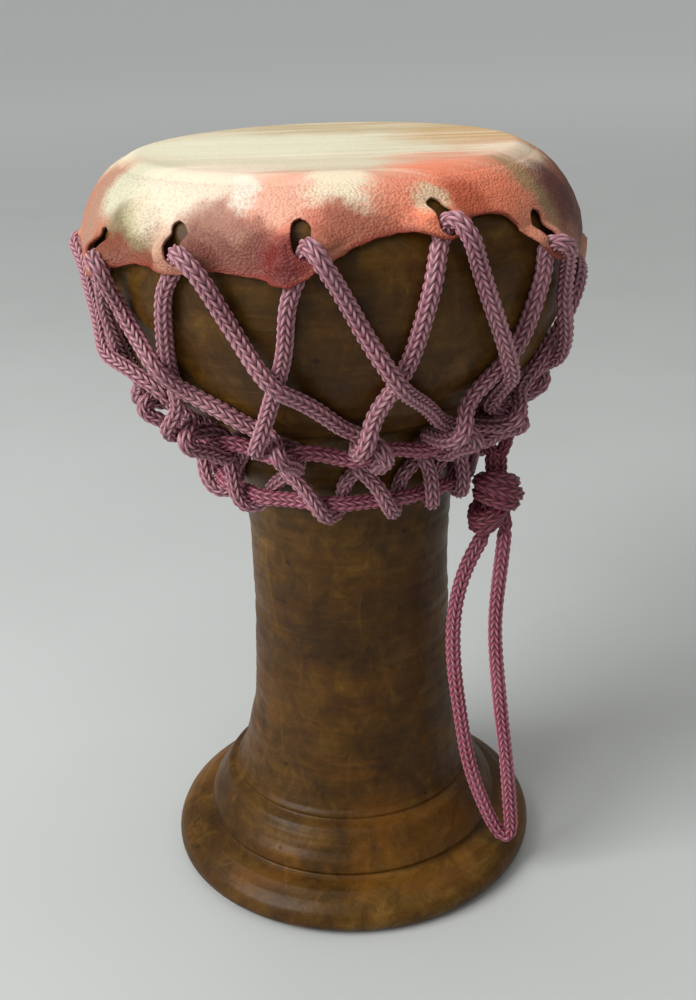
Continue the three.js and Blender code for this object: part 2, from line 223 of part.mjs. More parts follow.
// ------------------------------------------------------------------- helpers
function lookup(table, x) {
  if (x <= table[0][0]) return table[0][1];
  for (let i = 1; i < table.length; i++) {
    if (x <= table[i][0]) {
      const [x0, y0] = table[i - 1], [x1, y1] = table[i];
      return y0 + (y1 - y0) * (x - x0) / (x1 - x0);
    }
  }
  return table[table.length - 1][1];
}
const drift = (z) => lookup(AXIS_DRIFT, z);
const shellRadius = (z) => lookup(SHELL_OUTER, z);
const DEG = Math.PI / 180;
const onAxis = (azimuth, radius, z) =>
  [radius * Math.sin(azimuth * DEG) + drift(z), -radius * Math.cos(azimuth * DEG), z];
const smooth = (t) => { const c = Math.min(1, Math.max(0, t)); return c * c * (3 - 2 * c); };
const turn = (a) => ((a % 360) + 540) % 360 - 180;

// A cord centre line given as a list of points, straight between them.
class CordPath extends THREE.Curve {
  constructor(route, closed) {
    super();
    this.nodes = route.map((p) => new THREE.Vector3(...p));
    this.closed = closed;
  }
  getPoint(t, target = new THREE.Vector3()) {
    const n = this.nodes.length, spans = this.closed ? n : n - 1;
    const u = Math.min(Math.max(t, 0), 1) * spans;
    const i = Math.min(Math.floor(u + 1e-9), spans - 1), f = Math.min(1, Math.max(0, u - i));
    return target.copy(this.nodes[i]).lerp(this.nodes[(i + 1) % n], f);
  }
  getPointAt(u, target) { return this.getPoint(u, target); }
  getTangentAt(u, target = new THREE.Vector3()) {
    const n = this.nodes.length, spans = this.closed ? n : n - 1;
    const i = Math.round(u * spans);
    const before = this.closed ? this.nodes[(i - 1 + n) % n] : this.nodes[Math.max(0, i - 1)];
    const here = this.nodes[this.closed ? i % n : Math.min(i, n - 1)];
    const after = this.closed ? this.nodes[(i + 1) % n] : this.nodes[Math.min(n - 1, i + 1)];
    const a = here.clone().sub(before), b = after.clone().sub(here);
    if (a.lengthSq() > 0) a.normalize();
    if (b.lengthSq() > 0) b.normalize();
    return target.copy(a).add(b).normalize();
  }
  getTangent(t, target) { return this.getTangentAt(t, target); }
}
function bare(geometry) {
  geometry.deleteAttribute('normal');
  if (geometry.attributes.uv) geometry.deleteAttribute('uv');
  return mergeVertices(geometry, 1e-4);
}
const closedCord = (route, radius, sides) =>
  bare(new THREE.TubeGeometry(new CordPath(route, true), route.length, radius, sides, true));
function openCord(route, radius, sides) {
  const shape = new THREE.Shape();
  for (let i = 0; i < sides; i++) {
    const a = (i / sides) * Math.PI * 2;
    if (i) shape.lineTo(radius * Math.cos(a), radius * Math.sin(a));
    else shape.moveTo(radius, 0);
  }
  shape.closePath();
  return bare(new THREE.ExtrudeGeometry(shape, {
    steps: route.length - 1, bevelEnabled: false, extrudePath: new CordPath(route, false),
  }));
}
function toSolid(geometry) {
  const mesh = new wasm.Mesh({
    numProp: 3,
    vertProperties: new Float32Array(geometry.attributes.position.array),
    triVerts: new Uint32Array(geometry.index.array),
  });
  mesh.merge();
  return new wasm.Manifold(mesh);
}
function fromSolid(solid) {
  const mesh = solid.getMesh();
  const geometry = new THREE.BufferGeometry();
  geometry.setAttribute('position', new THREE.BufferAttribute(new Float32Array(mesh.vertProperties), 3));
  geometry.setIndex(new THREE.BufferAttribute(new Uint32Array(mesh.triVerts), 1));
  return geometry;
}
const drum = new THREE.Group();
drum.name = 'darbuka';
function addPiece(name, geometry, color, roughness) {
  geometry.computeVertexNormals();
  const mesh = new THREE.Mesh(geometry, new THREE.MeshStandardMaterial({ color, roughness, metalness: 0 }));
  mesh.name = name;
  drum.add(mesh);
  return mesh;
}

// ---------------------------------------------------------------- clay shell
// One thrown piece: foot, stem, neck and bowl are a single hollow wall, open
// at the foot and at the rim.  The foot stands on a flat ring.
{
  const profile = [...SHELL_OUTER, ...SHELL_INNER].map(([z, r]) => new THREE.Vector2(r, z));
  profile.push(profile[0].clone());
  const geometry = bare(new THREE.LatheGeometry(profile, SHELL_SEGMENTS));
  const p = geometry.attributes.position;
  // the lathe turns about Y: stand it up and lean it along its drift
  for (let i = 0; i < p.count; i++) {
    const x = p.getX(i), y = p.getY(i), z = p.getZ(i);
    p.setXYZ(i, x + drift(y), -z, y);
  }
  addPiece('clay_body', geometry, 0x6b5a42, 0.45);
}

// ------------------------------------------------------------- goatskin head
// A flat playing face that folds over the rim and is drawn down the bowl.  It
// lifts locally over the cord that runs up behind it to each slot.
{
  const fractions = [0, 0.12, 0.25, 0.42, 0.6, 0.8, 1];     // down the side
  const columns = [];
  HOLES.forEach(([a, lip], i) => {
    const next = HOLES[(i + 1) % HOLES.length][0] + (i + 1 === HOLES.length ? 360 : 0);
    for (const mm of [-10, -5, 0, 5, 10]) columns.push(a + mm / 76 / DEG);
    const from = a + 10 / 76 / DEG, to = next - 10 / 76 / DEG;
    const parts = Math.max(1, Math.ceil((to - from) / 7.6));
    for (let k = 1; k < parts; k++) columns.push(from + ((to - from) * k) / parts);
  });
  columns.sort((a, b) => a - b);
  const edgeHeight = (azimuth) => {
    let a = azimuth;
    while (a < SKIN_EDGE[0][0]) a += 360;
    while (a > SKIN_EDGE[SKIN_EDGE.length - 1][0]) a -= 360;
    return lookup(SKIN_EDGE, a);
  };
  // extra stand-off over the hidden cord below each slot
  const lift = (azimuth, z) => {
    let most = 0;
    for (const [a, lip] of HOLES) {
      const along = turn(azimuth - a) * DEG * 76;
      const below = Math.min(14, Math.max(0, lip + 1 - z));
      const d = Math.hypot(along + 0.22 * below, Math.max(0, z - lip - 2));
      most = Math.max(most, 4.65 * smooth((11 - d) / 7.8));
    }
    return most;
  };
  const normal = (z) => {
    const dr = shellRadius(z + 1.5) - shellRadius(z - 1.5);
    const l = Math.hypot(3, dr);
    return [3 / l, -dr / l];
  };
  const positions = [], index = [];
  const push = (p) => { positions.push(...p); return positions.length / 3 - 1; };
  const layers = [SKIN_GAP, SKIN_GAP + SKIN_THICKNESS].map((off, layer) => {
    const topZ = SKIN_TOP - (layer ? 0 : SKIN_THICKNESS);
    const rows = [];
    rows.push(columns.map((a) => push(onAxis(a, layer ? CREASE_RADIUS - 1.2 : CREASE_RADIUS - 1.8, topZ))));
    rows.push(columns.map((a) => push(onAxis(a, layer ? CREASE_RADIUS + 1.2 : CREASE_RADIUS + 0.5, topZ - (layer ? 0.5 : 0.3)))));
    rows.push(columns.map((a) => push(onAxis(a, 62.15 + off * 0.78, 247.4 + off * 0.72))));
    for (const f of fractions) {
      rows.push(columns.map((a) => {
        const z = 245.4 + (edgeHeight(a) - 245.4) * f;
        const [nr, nz] = normal(z);
        const o = off + lift(a, z);
        return push(onAxis(a, shellRadius(z) + o * nr, z + o * nz * 0.9));
      }));
    }
    const centre = push([drift(topZ), 0, topZ]);
    return { rows, centre };
  });
  const n = columns.length;
  layers.forEach(({ rows, centre }, layer) => {
    const face = (a, b, c) => (layer ? index.push(a, b, c) : index.push(a, c, b));
    for (let i = 0; i < n; i++) {
      const j = (i + 1) % n;
      face(centre, rows[0][i], rows[0][j]);
      for (let k = 0; k + 1 < rows.length; k++) {
        face(rows[k][i], rows[k + 1][i], rows[k + 1][j]);
        face(rows[k][i], rows[k + 1][j], rows[k][j]);
      }
    }
  });
  const inner = layers[0].rows.at(-1), outer = layers[1].rows.at(-1);
  for (let i = 0; i < n; i++) {
    const j = (i + 1) % n;
    index.push(outer[i], inner[i], inner[j], outer[i], inner[j], outer[j]);
  }
  const sheet = new THREE.BufferGeometry();
  sheet.setAttribute('position', new THREE.BufferAttribute(new Float32Array(positions), 3));
  sheet.setIndex(index);
  let skin = toSolid(sheet);
  // open slots where the cord turns over the lip
  const cutters = HOLES.map(([a, lip]) => {
    const shape = new THREE.Shape();
    const w = HOLE_HALF_WIDTH;
    const top = lip + HOLE_HEIGHT - w, bottom = lip + w;
    for (let i = 0; i <= 4; i++) {
      const t = Math.PI + (i / 4) * Math.PI;
      const x = w * Math.cos(t), y = bottom + w * Math.sin(t);
      if (i) shape.lineTo(x, y); else shape.moveTo(x, y);
    }
    for (let i = 0; i <= 4; i++) {
      const t = (i / 4) * Math.PI;
      shape.lineTo(w * Math.cos(t), top + w * Math.sin(t));
    }
    const g = bare(new THREE.ExtrudeGeometry(shape, { depth: 26, bevelEnabled: false, steps: 1 }));
    // local x along the rim, local y up, local z outward
    const radial = new THREE.Vector3(Math.sin(a * DEG), -Math.cos(a * DEG), 0);
    const along = new THREE.Vector3(Math.cos(a * DEG), Math.sin(a * DEG), 0);
    const m = new THREE.Matrix4().makeBasis(along, new THREE.Vector3(0, 0, 1), radial);
    m.setPosition(radial.x * 66 + drift(lip), radial.y * 66, 0);
    g.applyMatrix4(m);
    return toSolid(g);
  });
  // clearance for the cord itself wherever it passes near the skin
  const runs = [];
  let run = [];
  const T = TENSION_ROUTE;
  const first = T.findIndex((p) => p[2] < 198);
  for (let k = 0; k <= T.length; k++) {
    const p = T[(first + k) % T.length];
    if (p[2] > 200) run.push(p);
    else { if (run.length > 1) runs.push(run); run = []; }
  }
  for (const r of runs) cutters.push(toSolid(openCord(r, CORD_RADIUS + CORD_PASS, 6)));
  skin = skin.subtract(wasm.Manifold.union(cutters));
  // keep the skin itself and drop any crumb the cuts set free
  const bodies = skin.decompose().sort((a, b) => b.volume() - a.volume());
  addPiece('goatskin_head', fromSolid(bodies[0]), 0xc9854e, 0.6);
}

// -------------------------------------------------------------- cord lacing
addPiece('tension_lacing', closedCord(TENSION_ROUTE, CORD_RADIUS, CORD_SIDES), 0x9c5c6c, 0.85);
addPiece('upper_ring_cord', closedCord(UPPER_RING_ROUTE, CORD_RADIUS, CORD_SIDES), 0x8c4a5c, 0.85);
addPiece('lower_lacing', closedCord(LOWER_ROUTE, CORD_RADIUS, CORD_SIDES), 0x7f4052, 0.85);
addPiece('neck_ring_cord', closedCord(NECK_RING_ROUTE, CORD_RADIUS, CORD_SIDES), 0x74384a, 0.85);

// ------------------------------------------------- carrying tie, knot, loop
addPiece('carry_tie', closedCord(TIE_ROUTE, CORD_RADIUS, 6), 0x5e2536, 0.85);
{
  // Overhand knot: two fat wraps above, two tighter slanting wraps below,
  // bound round the standing strands.
  const ring = (centre, radius, tilt, lean, cord, sides, squash) => {
    const route = [];
    for (let i = 0; i < 12; i++) {
      const t = (i / 12) * Math.PI * 2;
      const v = new THREE.Vector3(radius * Math.cos(t), radius * squash * Math.sin(t), 0)
        .applyAxisAngle(new THREE.Vector3(0, 1, 0), tilt * DEG)
        .applyAxisAngle(new THREE.Vector3(1, 0, 0), lean * DEG);
      route.push([centre[0] + v.x, centre[1] + v.y, centre[2] + v.z]);
    }
    return toSolid(closedCord(route, cord, sides));
  };
  const coreProfile = [[0, 131.4], [2.6, 131.8], [4.4, 134.5], [5.2, 139], [5.6, 145], [4.8, 150], [2.6, 152.6], [0, 153.0]]
    .map(([r, z]) => new THREE.Vector2(r, z));
  const coreGeometry = bare(new THREE.LatheGeometry(coreProfile, 8));
  const p = coreGeometry.attributes.position;
  for (let i = 0; i < p.count; i++) {
    const x = p.getX(i), y = p.getY(i), z = p.getZ(i);
    p.setXYZ(i, x + lookup([[131, 46.6], [140, 47.6], [153, 49.6]], y), -z - 27, y);
  }
  const core = toSolid(coreGeometry);
  const knot = wasm.Manifold.union([
    core,
    ring([49.3, -27.2, 148.6], 5.3, 8, -4, 2.5, 6, 1.0),
    ring([48.9, -27.4, 144.2], 5.8, 5, -4, 2.5, 6, 1.0),
    ring([47.4, -27.6, 138.8], 4.6, 24, 6, 2.5, 6, 1.0),
    ring([46.6, -27.2, 134.9], 3.4, -14, 4, 2.4, 6, 1.0),
  ]);
  addPiece('carry_knot', fromSolid(knot), 0x6b2c3f, 0.85);
}
addPiece('carry_loop', openCord(LOOP_ROUTE, LOOP_RADIUS, LOOP_SIDES), 0x9a4a62, 0.85);

export default drum;
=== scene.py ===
# Darbuka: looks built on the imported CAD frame.  Metres, +Z up, front towards -Y.
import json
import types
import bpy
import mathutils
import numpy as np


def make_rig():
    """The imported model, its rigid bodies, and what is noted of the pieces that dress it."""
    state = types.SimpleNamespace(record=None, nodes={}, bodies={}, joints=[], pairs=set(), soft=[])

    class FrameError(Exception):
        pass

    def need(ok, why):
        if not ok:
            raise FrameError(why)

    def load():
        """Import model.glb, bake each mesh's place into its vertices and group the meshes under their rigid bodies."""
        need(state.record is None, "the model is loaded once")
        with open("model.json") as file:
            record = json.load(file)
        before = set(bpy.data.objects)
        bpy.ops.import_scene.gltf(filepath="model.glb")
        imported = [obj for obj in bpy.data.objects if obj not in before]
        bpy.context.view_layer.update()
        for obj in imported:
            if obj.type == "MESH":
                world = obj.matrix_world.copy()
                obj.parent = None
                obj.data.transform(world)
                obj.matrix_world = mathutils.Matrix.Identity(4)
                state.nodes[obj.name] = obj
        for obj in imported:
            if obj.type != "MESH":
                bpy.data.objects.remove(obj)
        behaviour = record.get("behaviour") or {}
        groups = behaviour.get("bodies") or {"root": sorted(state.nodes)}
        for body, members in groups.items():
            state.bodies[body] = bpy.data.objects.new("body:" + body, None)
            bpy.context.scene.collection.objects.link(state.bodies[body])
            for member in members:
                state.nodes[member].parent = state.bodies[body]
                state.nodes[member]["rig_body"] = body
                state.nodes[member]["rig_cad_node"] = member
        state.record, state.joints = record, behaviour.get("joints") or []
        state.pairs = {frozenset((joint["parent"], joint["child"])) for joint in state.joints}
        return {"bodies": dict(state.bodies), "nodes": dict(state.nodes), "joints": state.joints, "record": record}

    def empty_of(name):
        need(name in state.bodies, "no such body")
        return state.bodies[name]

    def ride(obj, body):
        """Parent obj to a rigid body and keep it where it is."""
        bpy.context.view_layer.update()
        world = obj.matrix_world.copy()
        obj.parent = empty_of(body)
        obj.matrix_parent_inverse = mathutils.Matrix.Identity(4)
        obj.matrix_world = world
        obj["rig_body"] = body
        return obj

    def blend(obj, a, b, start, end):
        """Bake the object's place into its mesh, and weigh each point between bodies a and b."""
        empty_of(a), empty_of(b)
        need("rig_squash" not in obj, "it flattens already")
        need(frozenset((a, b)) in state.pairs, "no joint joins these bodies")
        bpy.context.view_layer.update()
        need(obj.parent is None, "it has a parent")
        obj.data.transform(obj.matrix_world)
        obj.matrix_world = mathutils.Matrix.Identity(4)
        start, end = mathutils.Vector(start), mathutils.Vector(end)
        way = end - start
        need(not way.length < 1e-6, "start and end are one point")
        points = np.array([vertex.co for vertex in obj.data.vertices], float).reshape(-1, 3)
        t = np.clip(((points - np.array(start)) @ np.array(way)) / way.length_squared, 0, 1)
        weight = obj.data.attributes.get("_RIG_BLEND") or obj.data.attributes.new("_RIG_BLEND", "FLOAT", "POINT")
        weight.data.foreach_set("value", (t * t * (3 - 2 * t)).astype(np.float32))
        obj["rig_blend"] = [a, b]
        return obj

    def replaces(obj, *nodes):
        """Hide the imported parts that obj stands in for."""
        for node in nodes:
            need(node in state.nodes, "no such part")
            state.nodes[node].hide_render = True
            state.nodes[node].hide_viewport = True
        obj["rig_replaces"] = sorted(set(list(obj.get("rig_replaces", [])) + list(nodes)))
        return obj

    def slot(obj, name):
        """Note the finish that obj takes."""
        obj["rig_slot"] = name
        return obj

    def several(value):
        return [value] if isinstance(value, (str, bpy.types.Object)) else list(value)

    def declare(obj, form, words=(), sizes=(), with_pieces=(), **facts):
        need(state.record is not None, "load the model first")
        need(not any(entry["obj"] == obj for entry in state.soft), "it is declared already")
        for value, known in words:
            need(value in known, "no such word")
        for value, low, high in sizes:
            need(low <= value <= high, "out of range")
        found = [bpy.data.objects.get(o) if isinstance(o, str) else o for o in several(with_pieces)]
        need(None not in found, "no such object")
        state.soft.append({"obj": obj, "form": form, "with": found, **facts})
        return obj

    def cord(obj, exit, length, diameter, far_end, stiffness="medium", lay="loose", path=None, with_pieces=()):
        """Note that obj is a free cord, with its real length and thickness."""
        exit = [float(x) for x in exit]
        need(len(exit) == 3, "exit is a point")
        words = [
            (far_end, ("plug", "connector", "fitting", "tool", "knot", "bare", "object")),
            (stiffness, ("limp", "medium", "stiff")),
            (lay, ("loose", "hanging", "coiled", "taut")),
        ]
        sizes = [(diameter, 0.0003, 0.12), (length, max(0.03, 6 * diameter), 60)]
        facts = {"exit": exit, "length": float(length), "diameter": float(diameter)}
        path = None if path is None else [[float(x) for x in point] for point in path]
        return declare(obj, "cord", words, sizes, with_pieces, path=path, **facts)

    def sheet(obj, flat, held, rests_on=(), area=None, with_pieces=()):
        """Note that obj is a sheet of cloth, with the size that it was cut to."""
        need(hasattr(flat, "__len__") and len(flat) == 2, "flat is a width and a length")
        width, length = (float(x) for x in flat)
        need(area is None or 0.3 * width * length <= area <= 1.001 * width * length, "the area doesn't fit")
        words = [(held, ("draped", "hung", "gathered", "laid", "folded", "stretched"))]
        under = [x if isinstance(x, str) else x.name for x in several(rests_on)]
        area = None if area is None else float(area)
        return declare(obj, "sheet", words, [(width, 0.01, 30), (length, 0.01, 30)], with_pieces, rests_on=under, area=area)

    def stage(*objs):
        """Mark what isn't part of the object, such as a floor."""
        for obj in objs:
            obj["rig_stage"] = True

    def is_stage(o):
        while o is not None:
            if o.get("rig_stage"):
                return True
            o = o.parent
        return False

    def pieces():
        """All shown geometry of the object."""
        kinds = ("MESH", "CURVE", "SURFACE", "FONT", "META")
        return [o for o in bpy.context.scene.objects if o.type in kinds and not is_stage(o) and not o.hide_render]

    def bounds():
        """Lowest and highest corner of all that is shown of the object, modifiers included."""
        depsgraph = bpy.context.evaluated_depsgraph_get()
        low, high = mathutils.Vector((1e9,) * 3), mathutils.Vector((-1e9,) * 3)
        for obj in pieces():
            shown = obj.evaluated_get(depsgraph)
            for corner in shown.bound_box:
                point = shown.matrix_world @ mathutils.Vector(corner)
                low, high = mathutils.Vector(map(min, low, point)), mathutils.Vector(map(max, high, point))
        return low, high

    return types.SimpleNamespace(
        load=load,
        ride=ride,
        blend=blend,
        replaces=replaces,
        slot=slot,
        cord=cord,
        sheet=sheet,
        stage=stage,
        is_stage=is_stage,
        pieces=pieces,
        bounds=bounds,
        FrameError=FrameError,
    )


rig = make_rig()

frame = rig.load()

import json
import math
import bpy
import numpy as np
from mathutils import Matrix, Vector

CAD_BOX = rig.bounds()
MM = 0.001
rng = np.random.default_rng(7)

# ---------------------------------------------------------------- camera
PITCH, ROLL = math.radians(22.79), math.radians(-2.022)
cam_data = bpy.data.cameras.new("camera")
cam_data.sensor_fit = 'VERTICAL'
cam_data.sensor_height = 36.0
cam_data.lens = 45.9412
cam_data.clip_start = 0.01
camera = bpy.data.objects.new("camera", cam_data)
bpy.context.scene.collection.objects.link(camera)
camera.matrix_world = Matrix(((0.99937763, 0.03527551, -0.00000000, 0.00199955), (-0.01366422, 0.38711611, -0.92192972, -0.40377572), (-0.03252154, 0.92135593, 0.38735719, 0.30120729), (0.00000000, 0.00000000, 0.00000000, 1.00000000)))
bpy.context.scene.camera = camera

